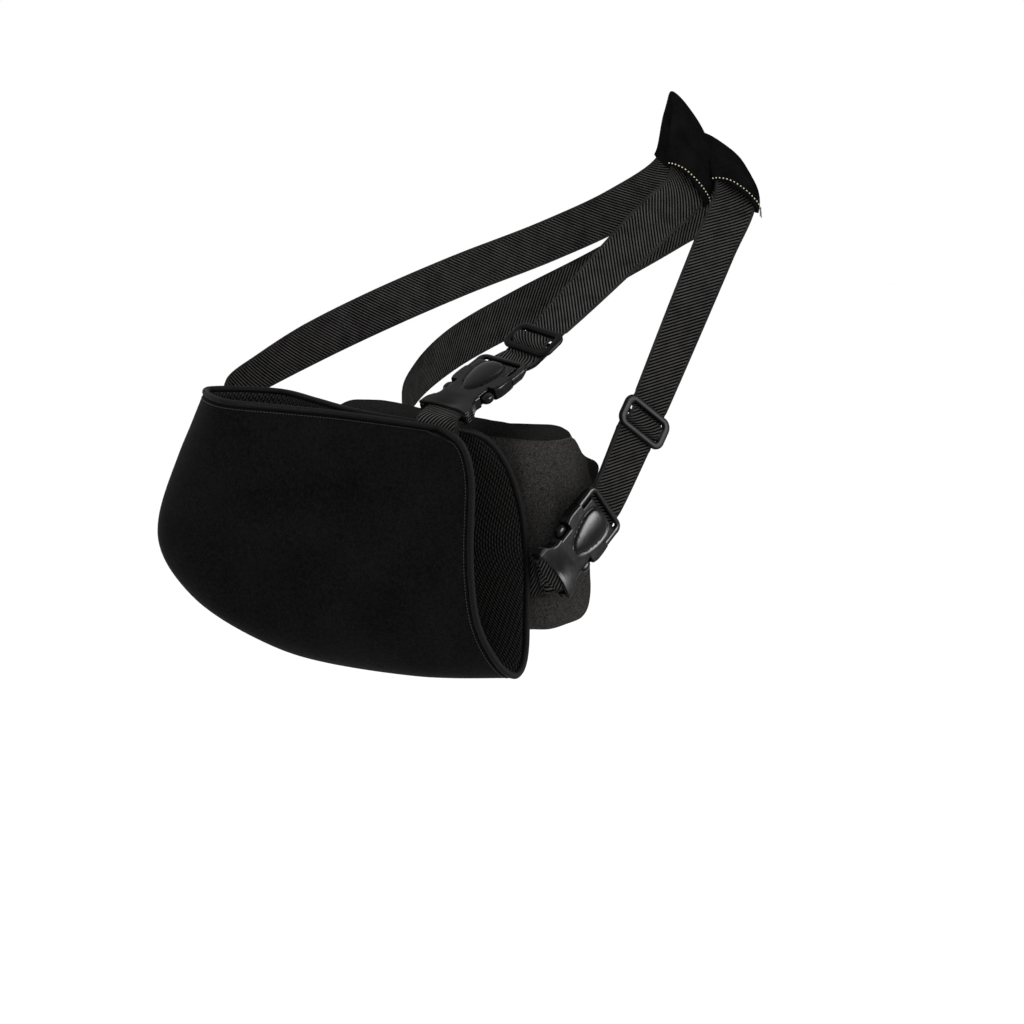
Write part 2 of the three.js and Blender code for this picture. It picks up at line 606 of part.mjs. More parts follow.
const forearmAcross = vec(1, 0, 0);
const pouchTabRow = ({ y, z }) => rowIn(armFrame, 1, y, z, forearmAcross);
const pouchTab = foldedTab(
  POUCH_TAB_OUTER.map(pouchTabRow), frames.pouchBuckle, POUCH_TAB_INNER.map(pouchTabRow), TAB_START.pouch,
);
const tabAngle = THREE.MathUtils.degToRad(TAB_START.pillow);
const tabAlong = vec(Math.sin(tabAngle), 0, -Math.cos(tabAngle)).transformDirection(frames.pillowBuckle);
const tabFace = vec(-Math.cos(tabAngle), 0, -Math.sin(tabAngle)).transformDirection(frames.pillowBuckle);
const tabBar = vec(0, 0, BUCKLE.tailBarZ).applyMatrix4(frames.pillowBuckle);
const pillowFace = vec(0, 1, 0).transformDirection(armFrame);
const pillowTabRow = (side, { back, flat, over, halfFold }) => {
  const face = tabFace.clone().lerp(pillowFace, flat).normalize();
  const at = tabBar.clone()
    .addScaledVector(tabAlong, -back)
    .addScaledVector(pillowFace, over)
    .addScaledVector(face, side * halfFold);
  return { at, across: face.cross(tabAlong).normalize() };
};
const pillowTabLayer = (side) => PILLOW_TAB_WAY.map((row) => pillowTabRow(side, row));
const pillowTab = foldedTab(
  pillowTabLayer(-1).reverse(), frames.pillowBuckle, pillowTabLayer(1), TAB_START.pillow,
);

const CLOTH = 0x151517;
const BLACK_WEB = 0x1d1d1f;
const PLASTIC = 0x111113;

const worn = new THREE.Group();
worn.add(
  placed(armFrame,
    piece("pouch_front_wall", pouchWall(-1), CLOTH, 0.9),
    piece("pouch_back_wall", pouchWall(1), CLOTH, 0.9),
    piece("pouch_binding", pouchBinding(), 0x1a1a1c, 0.85),
    piece("abduction_pillow", abductionPillow(), 0x2f2e2d, 0.95)),
  piece("pouch_tab", pouchTab, BLACK_WEB, 0.8),
  piece("pillow_tab", pillowTab, BLACK_WEB, 0.8),
  piece("pouch_strap", ribbon(pouchStrapRoute), BLACK_WEB, 0.8),
  piece("pillow_strap", ribbon(pillowStrapRoute), BLACK_WEB, 0.8),
  piece("shoulder_pad", shoulderPad(padLobes), CLOTH, 0.85),
  placed(frames.pouchBuckle,
    piece("pouch_buckle_socket", buckleSocket(), PLASTIC, 0.45),
    piece("pouch_buckle_plug", bucklePlug(), PLASTIC, 0.45)),
  placed(frames.pillowBuckle,
    piece("pillow_buckle_socket", buckleSocket(), PLASTIC, 0.45),
    piece("pillow_buckle_plug", bucklePlug(), PLASTIC, 0.45)),
  placed(frames.pouchAdjuster, piece("pouch_strap_adjuster", strapAdjuster(), PLASTIC, 0.45)),
  placed(frames.pillowAdjuster, piece("pillow_strap_adjuster", strapAdjuster(), PLASTIC, 0.45)),
);
worn.rotation.z = FOREARM_TURN;

const sling = new THREE.Group();
sling.name = "abduction_arm_sling";
sling.add(worn);

export default sling;
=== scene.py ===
import math

import bmesh
import bpy
import numpy as np
from mathutils import Matrix, Vector


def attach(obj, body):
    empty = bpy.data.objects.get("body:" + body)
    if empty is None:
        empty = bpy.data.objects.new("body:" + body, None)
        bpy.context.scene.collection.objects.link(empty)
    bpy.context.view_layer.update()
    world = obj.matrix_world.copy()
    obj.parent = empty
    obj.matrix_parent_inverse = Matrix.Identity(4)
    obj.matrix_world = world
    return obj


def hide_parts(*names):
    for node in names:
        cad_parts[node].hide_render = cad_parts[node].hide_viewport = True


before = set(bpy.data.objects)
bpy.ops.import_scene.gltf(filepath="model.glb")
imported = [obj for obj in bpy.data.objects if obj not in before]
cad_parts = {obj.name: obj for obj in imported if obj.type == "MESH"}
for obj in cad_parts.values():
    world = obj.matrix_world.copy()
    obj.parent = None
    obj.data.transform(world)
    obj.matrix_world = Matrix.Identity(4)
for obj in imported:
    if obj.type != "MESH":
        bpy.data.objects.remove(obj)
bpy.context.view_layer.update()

# The abduction arm sling, dressed over its CAD frame. Shapes are given in millimetres and made in metres.
# The camera, stage, lights, flat sizes, finishes and the pillow's voxel and cap are given in metres.
MM = 0.001
BODY = "root"
FOREARM_TURN = math.radians(30)
ARM_PLACE = (-222.9, -245, -225.7)

# Mesh making
MERGE_WITHIN = 1e-6
SHORTEST_STEP = 1e-4
EDGE_STEPS = 240
RING_STEPS = 600
SLOPE_STEP = 1e-3

# Camera
CAMERA_PLACE = (0.9212, -1.9222, 0.0405)
CAMERA_WAY = (-0.4924, 0.8529, -0.1736)
CAMERA_LENS = 85
CAMERA_SENSOR = 36

# Stage
FLOOR_HEIGHT = -1.25
FLOOR_RADIUS = 14.0
FLOOR_SIDES = 64
FLOOR_ROUGHNESS = 0.9
STAGE_WHITE = 1.0
SURROUND = 1.0

# Lights face one point; columns name, place, size, power and whether it shows only as a highlight.
LIGHTS_AIM = (-0.08, -0.15, -0.2)
LIGHTS = [
    ("key_light", (-0.9, -2.3, 1.2), 0.7, 14, False),
    ("side_light", (2.2, -1.2, 0.9), 0.6, 6, False),
    ("gloss_light", (2.32, 0.11, 0.04), 1.0, 230, True),
    ("top_light", (0.2, 0.4, 2.2), 0.7, 10, False),
]

# Stitches: pitch, length and thread, then how far they lie from an edge and stand proud of the cloth.
EDGE_STITCH = (2.6, 2.0, 0.7)
SEAM_STITCH = (2.4, 1.9, 0.7)
MOUTH_STITCH = (3.2, 1.5, 1.2)
LOOSE_STITCH = (1.0, 1.0, 1.0)
EDGE_STITCH_INSET = 2.4
EDGE_STITCH_LIFT = 0.15
SEAM_STITCH_LIFT = 0.1
MOUTH_STITCH_STEPS_IN = 1
MOUTH_STITCH_LIFT = 0.3
BEAD_SEGMENTS = 8
BEAD_RINGS = 5

# Webbing
WEBBING_WIDTH = 38.0
WEBBING_THICK = 1.8
CLEARANCE = 0.4
STRAP_STEPS = 8
SELVAGE_POINTS = 15
SELVAGE_THINNER = 0.75
SELVAGE_SHARPNESS = 14
STRAIGHT_SHARES = (0.25, 0.6)
WRAP_DEGREES = (0, 45, 90, 135, 180)

# Forearm pouch
POUCH_WALL = 3.0
POUCH_HALF_WIDTH = 44.0
POUCH_ELBOW_ROUND = 75.0
POUCH_ELBOW_REACH = 290.0
POUCH_FULLEST_AT = 0.6
POUCH_FULL_WALL_AT = 6.0
POUCH_ALONG_STEPS = 110
POUCH_DOWN_STEPS = 70
POUCH_ELBOW_CROWDING = 1.5
POUCH_SLACK_FROM = 20.0
# Rough sizes that turn the stitches' distance from an edge into a share.
POUCH_LENGTH = 300.0
POUCH_HEIGHT = 200.0
# Which grid rows the edge stitches pass, clear of the elbow, the corner and the keel.
STITCHED_TOP = slice(6, -4)
STITCHED_MOUTH = slice(5, -4)
# Slack of the stretched cloth; columns height, wave along x, wave along z, start.
SLACK_WAVES = [(0.5, 31, 57, 0.6), (0.35, 17, -23, 0), (0.25, 41, 11, 0)]

# Edge binding
BINDING_HALF_WIDE = 2.75
BINDING_HALF_HIGH = 2.6
BINDING_STAND = 2.3
BINDING_SIDES = 14

# Abduction pillow
PILLOW_MIDDLE_Y = 92.0
PILLOW_MIDDLE_Z = -85.0
PILLOW_MIDDLE_X = -25.0
PILLOW_ENDS_BEYOND = 80.0
PILLOW_RING = 96
PILLOW_START_IN = 2.5
PILLOW_VOXEL = 0.004
PILLOW_PRESSURE = 4.0
PILLOW_FRAMES = 20
PILLOW_QUALITY = 5
SMALLEST_MOVE = 1e-9
PILLOW_MOST_MOVE = 0.0045
PILLOW_SEAM_Z = -12.0
SEAM_DIP = 1.1
SEAM_DIP_REACH = 2.2
SEAM_POINTS = 400
EAR_AT = (74, 130, -40)
EAR_WAY = (0.5, 0.75, 0.43)
EAR_SPREAD = 9.5
EAR_REACH = 17.0

# Shoulder pad
PAD_WIDTH = 44.5
PAD_THICK = 9.0
PAD_TUNNEL_WIDTH = 39.4
PAD_TUNNEL_HIGH = 3.2
PAD_RING = 48
PAD_STEPS = 12
PAD_SQUARE = (0.8, 1.0)
PAD_TUNNEL_SQUARE = (0.5, 0.5)
PAD_REAR_LIFT = 0.5
PAD_FLARE = 0.3
PAD_MOUTH_LIFT = 7.0
PAD_MOUTH_PEAK = -0.3
PAD_MOUTH_SLANT = 9.0
LOOSE_THREADS = 7
LOOSE_REACH = 6.0
LOOSE_FAN = (-35, 70)
LOOSE_UNEVEN = 0.3
LOOSE_WAVES = 5
LOOSE_BEND_AT = 0.6
LOOSE_END_AT = 0.9
LOOSE_DROOP = 0.2

# Buckles: x runs from the tail bar to the strap end, y lies across and z faces out.
BUCKLE_CREASE = 42
BAR_RADIUS = 1.9
BAR_SUNK = 1.5
BAR_SIDES = 20
BAR_POINTS = 9
FRAME_SIDES = 24
SLAB_COLUMNS = 72
CORNER_POINTS = 9
SLOT_HALF = 20.3
TAIL_FROM = -5.0
TAIL_HALF = 24.0
TAIL_BAR_Z = -2.6
PLUG_BAR_X = 60.5
PLUG_BAR_Z = -1.2
SOCKET_HALF_THICK = 5.5
SOCKET_ROOF = 2.6
SOCKET_ROOF_TO = 9.0
SOCKET_BODY_FROM = 7.0
SOCKET_ROUND = 2.2
SOCKET_ROWS = 70
ROOF_ROUND = 0.9
ROOF_ROWS = 44
RAIL_ROUND = 1.2
RAIL_INTO_ROOF = 0.6
SOCKET_WAIST = 17.0
NOTCH_FROM = 19.2
NOTCH_TO = 33.2
NOTCH_STEP = 0.01
SOCKET_TO = 52.2
PLUG_FROM = 52.5
PLUG_FRONT_TO = 55.8
PLUG_FRONT_ROUND = 0.4
PLUG_FRONT_ROWS = 5
PLUG_FRONT_INTO_RAIL = 0.6
PLUG_HALF_THICK = 4.2
LIP_LOW = 3.1
LIP_TO = 64.5
LIP_HALF = 18.9
LIP_ROUND = 0.9
LIP_ROWS = 30
LIP_INTO_SOCKET = 2.5
LIP_GAP = 0.3
PLUG_RAIL_Y = 22.1
PLUG_RAIL_WIDE = 6.1
PLUG_RAIL_NARROWS = 1.9
PLUG_RAIL_POINTS = 12
PLUG_END_X = 73.0
PLUG_CORNER = 4.5
PLUG_TAPER_BEFORE = 4.0
PLUG_TAPER_LONG = 7.5
PLUG_SQUARE = (0.6, 0.7)
END_BAR_Z = 2.3
END_BAR_HALF_HIGH = 1.9
END_BAR_POINTS = 15
PRONG_WIDE = 7.4
PRONG_HIGH = 7.6
PRONG_SQUARE = 0.75
PRONG_ROUND = 2.6
PRONG_END_GAP = 0.5
PRONG_SIDE_GAP = 0.6
PRONG_STAND = 3.4
PRONG_SMALLEST = 0.02
PRONG_STEPS = 21
THUMB_FROM = 24.0
THUMB_WIDEST = 51.0
THUMB_TO = 65.5
THUMB_HALF = 13.0
THUMB_HIGH = 2.7
THUMB_POINTED = 1.5
THUMB_BLUNT = 3.0
THUMB_FULLNESS = 0.7
THUMB_SMALLEST = 1e-6
GROOVE_DEEP = 0.5
GROOVE_AWAY = 0.8
GROOVE_REACH = 0.9
TAIL_HOLLOW_HALF = 11.0
TAIL_HOLLOW_TO = 17.0
TAIL_HOLLOW = 1.7
TAIL_CURVE = 4.5
TAIL_RIBS = 4
TAIL_RIB_RADIUS = 0.8
TAIL_RIB_SPREAD = 3.6
TAIL_RIB_FROM = -4.0
TAIL_RIB_TO = 4.5
TAIL_RIB_SIDES = 10
TAIL_RIB_POINTS = 6
TEETH = 27
TOOTH_PITCH = 1.45
# A tooth at its root and tip; columns how far past the lip, half width, top.
TOOTH_ENDS = [(-1, 0.55, 5.0), (2, 0.2, 3.9)]
# Half the socket's width along its tail and along its mouth; columns x, half width.
TAIL_SIDE = [(-5, 24.5), (3, 24), (9, 20.5), (14, 18.5), (19.2, 19)]
FRONT_SIDE = [(33.2, 23.4), (38, 25), (46, 25.2), (52.2, 24.6)]

# Slides
SLIDE_THICK = 3.2
SLIDE_HALF_LONG = 11.4
SLIDE_HALF_WIDE = 22.5
SLIDE_CORNER = 6.0
SLIDE_RAIL = 2.8
SLIDE_SIDE_RAIL = 3.45
SLIDE_HALF_HIGH = 2.2
SLIDE_RAIL_RISE = 0.4
SLIDE_BAR = 1.85
SLIDE_BAR_SUNK = 1.0
SLIDE_SQUARE = 0.8
SLIDE_SQUARER_SIDE = 0.3
SLIDE_SQUARE_HIGH = 0.7
SLIDE_CREASE = 60

# Tones of each finish, dark and pale.
POUCH_TONES = ((0.0012, 0.0012, 0.0014), (0.0085, 0.0085, 0.009))
LINING_TONES = ((0.0012, 0.0012, 0.0013), (0.036, 0.0345, 0.033))
LOOP_TONES = ((0.002, 0.002, 0.0021), (0.066, 0.063, 0.061))
GUSSET_TONES = ((0.002, 0.002, 0.0021), (0.021, 0.0205, 0.02))
BINDING_TONES = ((0.0016, 0.0016, 0.0018), (0.008, 0.008, 0.0085))
POUCH_STRAP_TONES = ((0.0012, 0.0012, 0.0013), (0.075, 0.073, 0.071))
PILLOW_STRAP_TONES = ((0.0012, 0.0012, 0.0013), (0.07, 0.068, 0.066))
PAD_TONES = ((0.0022, 0.0022, 0.0024), (0.0068, 0.0068, 0.0072))
PLASTIC_TONES = ((0.0018, 0.0018, 0.002), (0.004, 0.004, 0.0043))
BLACK_THREAD_TONES = ((0.004, 0.004, 0.0045), (0.03, 0.029, 0.028))
CREAM_THREAD_TONES = ((0.35, 0.31, 0.19), (0.7, 0.66, 0.5))
LOOSE_THREAD_TONES = ((0.03, 0.02, 0.015), (0.16, 0.13, 0.1))

# Side view of the pouch in its own frame; columns x, z.
ELBOW_EDGE = [(-223, 16), (-235, -8), (-250, -38), (-270, -88), (-267, -120), (-241, -150), (-198, -175)]
MOUTH_EDGE = [(6, 0), (32, -8), (46, -29), (52, -60), (55, -105), (59, -150), (70, -191)]
TOP_EDGE = [(-223, 16), (-150, 11), (-70, 5), (6, 0)]
KEEL_EDGE = [(-198, -175), (-123, -197), (-16, -200), (70, -191)]
# Half the width of the open top at equal steps from the elbow to the tab.
TOP_GAPE = [30, 40, 27, 12, 7.5, 6.5]

# The pillow's cross-section, columns y, z, and its rows along the forearm, columns x, draw in, lift.
PILLOW_SECTION = [
    (53, -24), (52.5, -60), (52.5, -120), (53, -152), (58, -168), (92, -172), (126, -169), (134, -154),
    (135, -115), (135, -75), (133, -50), (119, -29), (99, -6), (79, 4), (61, 1),
]
PILLOW_ROWS = [
    (-158, 24, 0), (-155, 14, 3), (-148, 6, 7), (-136, 2, 9), (-110, 0, 9), (-68, 0, 6), (-25, 0, 3),
    (20, 0, 0), (52, 0, 0), (66, 0.6, 0), (73, 3, 0), (76.5, 7, 0), (77.5, 12, 0),
]

# How the hard fittings lie in the worn frame: where, along and outward.
POUCH_BUCKLE = ((-214.3, -236.1, -210.6), (0.625, 0.658, 0.422), (-0.11, -0.32, 0.94))
POUCH_SLIDE = ((-145.9, -172, -162.7), (0.644, 0.506, 0.574), (-0.31, -0.49, 0.82))
PILLOW_BUCKLE = ((-130.4, -248.8, -338.7), (0.566, 0.529, 0.634), (0.67, -0.74, 0.02))
PILLOW_SLIDE = ((-55.7, -172, -229.4), (0.4, 0.47, 0.79), (0.6, -0.77, 0.15))

# Strap routes in the worn frame; columns x, y, z and the way across from selvage to selvage.
POUCH_STRAP_BACK = [
    (-408, -84, -219, -0.3, 0.17, -0.93), (-385, -45, -206, -0.2, 0.1, -0.95), (-343, 8, -185, 0, 0, -1),
    (-283, 58, -159, 0.12, -0.06, -0.96), (-210, 95, -130, 0.28, -0.1, -0.94),
    (-130, 110, -100, 0.38, -0.06, -0.92), (-65, 99, -69, 0.45, 0.05, -0.88),
]
POUCH_STRAP_PAD = [
    (-18, 66, -33, 0.66, 0, -0.75), (-12.5, 38, 4, 0.64, 0, -0.77), (-12.5, 0, 18, 0.6, 0, -0.8),
    (-11, -38, 2, 0.64, 0, -0.77), (-15, -67, -43, 0.72, -0.02, -0.69),
]
PILLOW_STRAP_BACK = [
    (-258, -28, -246, 0, 0.34, -0.94), (-250, 34, -223, 0.05, 0.33, -0.94), (-216, 84, -196, 0.2, 0.2, -0.95),
    (-153, 115, -163, 0.35, 0.05, -0.93), (-82, 118, -127, 0.42, 0, -0.9), (-17, 98, -88, 0.55, 0, -0.83),
]
PILLOW_STRAP_PAD = [
    (28, 66, -56, 0.8, 0, -0.6), (22, 38, -26, 0.82, 0, -0.57), (18, 0, -12.5, 0.82, 0, -0.57),
    (23, -38, -27, 0.82, 0, -0.57), (26, -64, -51.5, 0.84, -0.04, -0.54),
]
# How a strap end goes through its slide, columns x and side, and round the plug bar, columns x, z in, z out.
SLIDE_WAY = [(20, -1), (12, -1), (8.4, -1), (2.9, 1), (-2.9, 1), (-8.4, -1), (-13, -1), (-18, -1)]
DOUBLED_WAY = [-18, -13, -4]
PLUG_WAY = [(80, -1.9, -4.4), (73, -1.6, -4.2)]
# Where the straps and tabs are sewn on, in the arm frame; columns x, y, z.
ELBOW_SEWN = [(-234.6, 3, -3), (-234.5, 12, -3), (-234, 24, -3)]
ELBOW_SEWN_ACROSS = (-0.45, 0, -0.89)
PILLOW_SEWN = [(-45, 137, -78), (-68, 137.2, -67), (-90, 138.4, -57)]
PILLOW_SEWN_ACROSS = (-0.4, 0, -0.92)
POUCH_TAB_OUTER = [(1, -1.4, -30), (1, -1.4, -10), (1, -1.2, 3), (1, 1, 9.8)]
POUCH_TAB_INNER = [(1, 2.6, 7.6), (1, 1.4, 2), (1, 1.4, -10), (1, 1.4, -30)]
POUCH_TAB_ACROSS = (1, 0, 0)
# The pillow tab back from its bar: how flat it lies to the pillow, how far it moves over and half its fold.
PILLOW_TAB_WAY = [
    (5, 0, 0, 3.4), (7.5, 0.35, 0, 2.6), (10, 0.85, 0.2, 1.7), (12.3, 1, 1.7, 1.3), (14.5, 1, 4, 1.2),
    (17, 1, 5, 1.2), (25, 1, 5, 1.2), (38, 1, 5, 1.2), (52, 1, 5, 1.2),
]
# Where each tab meets the tail bar, in degrees, and the straight stretch that leads to it.
POUCH_TAB_START = 90
PILLOW_TAB_START = 157.5
TAB_LEAD = 3.0


# Frames

WORN = Matrix.Rotation(FOREARM_TURN, 4, "Z")
ARM = WORN @ Matrix.Translation(ARM_PLACE) @ Matrix.Rotation(-FOREARM_TURN, 4, "Z")


def fitting_frame(place):
    """A frame whose x runs along, z faces out and y lies across."""
    at, along, outward = (Vector(part) for part in place)
    x = along.normalized()
    z = (outward - x * outward.dot(x)).normalized()
    y = z.cross(x)
    axes = Matrix((x, y, z)).transposed().to_4x4()
    return WORN @ Matrix.Translation(at) @ axes


def place_points(matrix, points):
    """Points moved by a matrix, as an array."""
    turn = np.array(matrix)
    return np.asarray(points, float) @ turn[:3, :3].T + turn[:3, 3]


# Mesh making

def add_object(name, data):
    """An object in the scene."""
    made = bpy.data.objects.new(name, data)
    bpy.context.scene.collection.objects.link(made)
    return made


def evaluated_mesh(piece, name):
    """A plain copy of a piece with its modifiers applied."""
    seen = piece.evaluated_get(bpy.context.evaluated_depsgraph_get())
    mesh = bpy.data.meshes.new_from_object(seen)
    mesh.name = name
    return mesh


def coordinates(mesh):
    """A mesh's points as an array."""
    flat = np.empty(len(mesh.vertices) * 3)
    mesh.vertices.foreach_get("co", flat)
    return flat.reshape(-1, 3)


def unit(vectors):
    """Vectors brought to length 1."""
    return vectors / np.linalg.norm(vectors, axis=-1, keepdims=True)


def signed_volume(points, faces):
    """Six times the volume inside a closed set of faces."""
    points = np.asarray(points, float)
    total = 0.0
    for size in {len(face) for face in faces}:
        rings = points[np.array([face for face in faces if len(face) == size])]
        for k in range(1, size - 1):
            total += float(np.sum(rings[:, 0] * np.cross(rings[:, k], rings[:, k + 1])))
    return total


def make_piece(name, points, faces, materials, uv=None, slots=None, crease=None):
    """A piece from points in millimetres, its faces turned outwards and its seams merged."""
    points = np.asarray(points, float)
    if signed_volume(points, faces) < 0:
        faces = [tuple(reversed(face)) for face in faces]
    mesh = bpy.data.meshes.new(name)
    mesh.from_pydata((points * MM).tolist(), [], faces)
    if uv is not None:
        layer = mesh.uv_layers.new(name="cloth")
        corners = np.asarray(uv, float)[[loop.vertex_index for loop in mesh.loops]]
        layer.data.foreach_set("uv", corners.ravel())
    for entry in materials:
        mesh.materials.append(entry)
    if slots is not None:
        mesh.polygons.foreach_set("material_index", slots)
    merged = bmesh.new()
    merged.from_mesh(mesh)
    bmesh.ops.remove_doubles(merged, verts=merged.verts, dist=MERGE_WITHIN)
    merged.to_mesh(mesh)
    merged.free()
    mesh.shade_smooth()
    if crease is not None:
        mesh.set_sharp_from_angle(angle=math.radians(crease))
    return add_object(name, mesh)


def loft(rings, closed=False):
    """Points and faces of a body through equal rings, its ends capped unless it closes on itself."""
    count = len(rings[0])
    points = np.concatenate(rings)
    faces = []
    spans = len(rings) if closed else len(rings) - 1
    for i in range(spans):
        here = i * count
        after = ((i + 1) % len(rings)) * count
        for j in range(count):
            k = (j + 1) % count
            faces.append((here + j, here + k, after + k, after + j))
    if not closed:
        last = (len(rings) - 1) * count
        faces.append(tuple(reversed(range(count))))
        faces.append(tuple(range(last, last + count)))
    return points, faces


def join_bodies(bodies):
    """Closed bodies put together as one set of points and faces, each turned to face out."""
    points, faces = [], []
    start = 0
    for body_points, body_faces in bodies:
        flip = signed_volume(body_points, body_faces) < 0
        for face in body_faces:
            turned = tuple(index + start for index in face)
            faces.append(turned[::-1] if flip else turned)
        points.append(np.asarray(body_points, float))
        start += len(body_points)
    return np.concatenate(points), faces


def settle(piece, slot, *nodes):
    """Puts a finished piece on the body and hides the solids it stands for."""
    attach(piece, BODY)
    if nodes:
        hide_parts(*nodes)
    return piece


# Curves

def curve_point(rows, t):
    """A point on the smooth curve through rows, with t counting rows."""
    last = len(rows) - 1
    i = min(int(t), last - 1)
    w = t - i
    p1, p2 = rows[i], rows[i + 1]
    p0 = rows[i - 1] if i > 0 else 2 * p1 - p2
    p3 = rows[i + 2] if i + 2 <= last else 2 * p2 - p1
    d0, d1, d2 = (math.sqrt(float(np.linalg.norm(b - a))) for a, b in ((p0, p1), (p1, p2), (p2, p3)))
    d1 = d1 if d1 > SHORTEST_STEP else 1.0
    d0 = d0 if d0 > SHORTEST_STEP else d1
    d2 = d2 if d2 > SHORTEST_STEP else d1
    t1 = ((p1 - p0) / d0 - (p2 - p0) / (d0 + d1) + (p2 - p1) / d1) * d1
    t2 = ((p2 - p1) / d1 - (p3 - p1) / (d1 + d2) + (p3 - p2) / d2) * d1
    c2 = 3 * (p2 - p1) - 2 * t1 - t2
    c3 = 2 * (p1 - p2) + t1 + t2
    return p1 + w * (t1 + w * (c2 + w * c3))


def plain_curve(rows):
    """Points along an even curve through rows, the same number between each two."""
    rows = np.asarray(rows, float)
    ends = np.vstack([rows[:1], rows, rows[-1:]])
    points = []
    for i in range(len(rows) - 1):
        p0, p1, p2, p3 = ends[i:i + 4]
        w = np.linspace(0, 1, EDGE_STEPS, endpoint=False)[:, None]
        v0, v1 = (p2 - p0) / 2, (p3 - p1) / 2
        points.append(p1 + w * (v0 + w * (3 * (p2 - p1) - 2 * v0 - v1 + w * (2 * (p1 - p2) + v0 + v1))))
    return np.vstack([*points, rows[-1:]])


def at_shares(line, shares):
    """Points of a line at shares of its length."""
    length = running_length(line, 0)
    wanted = np.asarray(shares) * length[-1]
    return np.stack([np.interp(wanted, length, line[:, k]) for k in range(line.shape[1])], axis=-1)


def running_length(points, axis):
    """The length run so far along one axis of a grid of points."""
    steps = np.linalg.norm(np.diff(points, axis=axis), axis=-1)
    start = np.zeros_like(np.take(steps, [0], axis=axis))
    return np.concatenate([start, np.cumsum(steps, axis=axis)], axis=axis)


# Materials

def add_node(tree, kind, inputs=None, **settings):
    """A node with its settings, and its inputs either linked or set."""
    node = tree.nodes.new(kind)
    for key, value in settings.items():
        setattr(node, key, value)
    for key, value in (inputs or {}).items():
        socket = node.inputs[key]
        if isinstance(value, bpy.types.NodeSocket):
            tree.links.new(value, socket)
        else:
            socket.default_value = value
    return node


def calc(tree, operation, first, second=0.0, third=0.0):
    """One step of arithmetic in a material."""
    return add_node(tree, "ShaderNodeMath", {0: first, 1: second, 2: third}, operation=operation).outputs[0]


def ramp(tree, value, low, high):
    """A value stretched so that low becomes 0 and high becomes 1."""
    node = add_node(tree, "ShaderNodeMapRange", {"Value": value, "From Min": low, "From Max": high})
    return node.outputs["Result"]


def blend_colors(tree, share, first, second):
    """A colour between two by a share."""
    node = add_node(tree, "ShaderNodeMix", {"Factor": share}, data_type="RGBA")
    for index, value in ((6, first), (7, second)):
        if isinstance(value, bpy.types.NodeSocket):
            tree.links.new(value, node.inputs[index])
        else:
            node.inputs[index].default_value = (*value, 1)
    return node.outputs[2]


def noise(tree, place, size, detail=2.0, roughness=0.5):
    """Even noise with features of a size in metres."""
    node = add_node(tree, "ShaderNodeTexNoise", {
        "Vector": place, "Scale": 1 / size, "Detail": detail, "Roughness": roughness})
    return node.outputs["Fac"]


def blend_values(tree, share, first, second):
    """A value between two by a share."""
    return add_node(tree, "ShaderNodeMix", {"Factor": share, 2: first, 3: second}).outputs[0]


def add_shares(tree, first, second, share):
    """Two values added, the second by its share and the first by the rest."""
    return calc(tree, "ADD", calc(tree, "MULTIPLY", first, 1 - share), calc(tree, "MULTIPLY", second, share))


def wave(tree, value, length):
    """A sine wave of a length along a value."""
    return calc(tree, "SINE", calc(tree, "MULTIPLY", value, 2 * math.pi / length))


def start_material(name, specular):
    """A material with one shader, and its places on the piece."""
    material = bpy.data.materials.new(name)
    material.use_nodes = True
    tree = material.node_tree
    shader = tree.nodes["Principled BSDF"]
    shader.inputs["Specular IOR Level"].default_value = specular
    places = add_node(tree, "ShaderNodeTexCoord")
    return material, tree, shader, places


def finish_material(tree, shader, color, roughness, height, depth):
    """Links the colour, roughness and relief of a material; depth is in metres."""
    tree.links.new(color, shader.inputs["Base Color"])
    tree.links.new(roughness, shader.inputs["Roughness"])
    bump = add_node(tree, "ShaderNodeBump", {"Height": height, "Strength": 1.0, "Distance": depth})
    tree.links.new(bump.outputs["Normal"], shader.inputs["Normal"])


def brushed_cloth(name, tones, fleck_size, depth):
    """A napped cloth: fine flecks over soft drifts of tone."""
    drift_size, fibre_size = 0.05, fleck_size * 2.6
    material, tree, shader, places = start_material(name, specular=0.015)
    spot = places.outputs["Object"]
    fleck = noise(tree, spot, fleck_size, 3, 0.7)
    nap = add_shares(tree, fleck, noise(tree, spot, fibre_size), 0.3)
    drift = calc(tree, "MULTIPLY", noise(tree, spot, drift_size), 0.25)
    share = ramp(tree, calc(tree, "ADD", nap, drift), 0.5, 0.92)
    color = blend_colors(tree, share, *tones)
    finish_material(tree, shader, color, ramp(tree, fleck, -2.0, 1.8), nap, depth)
    return material


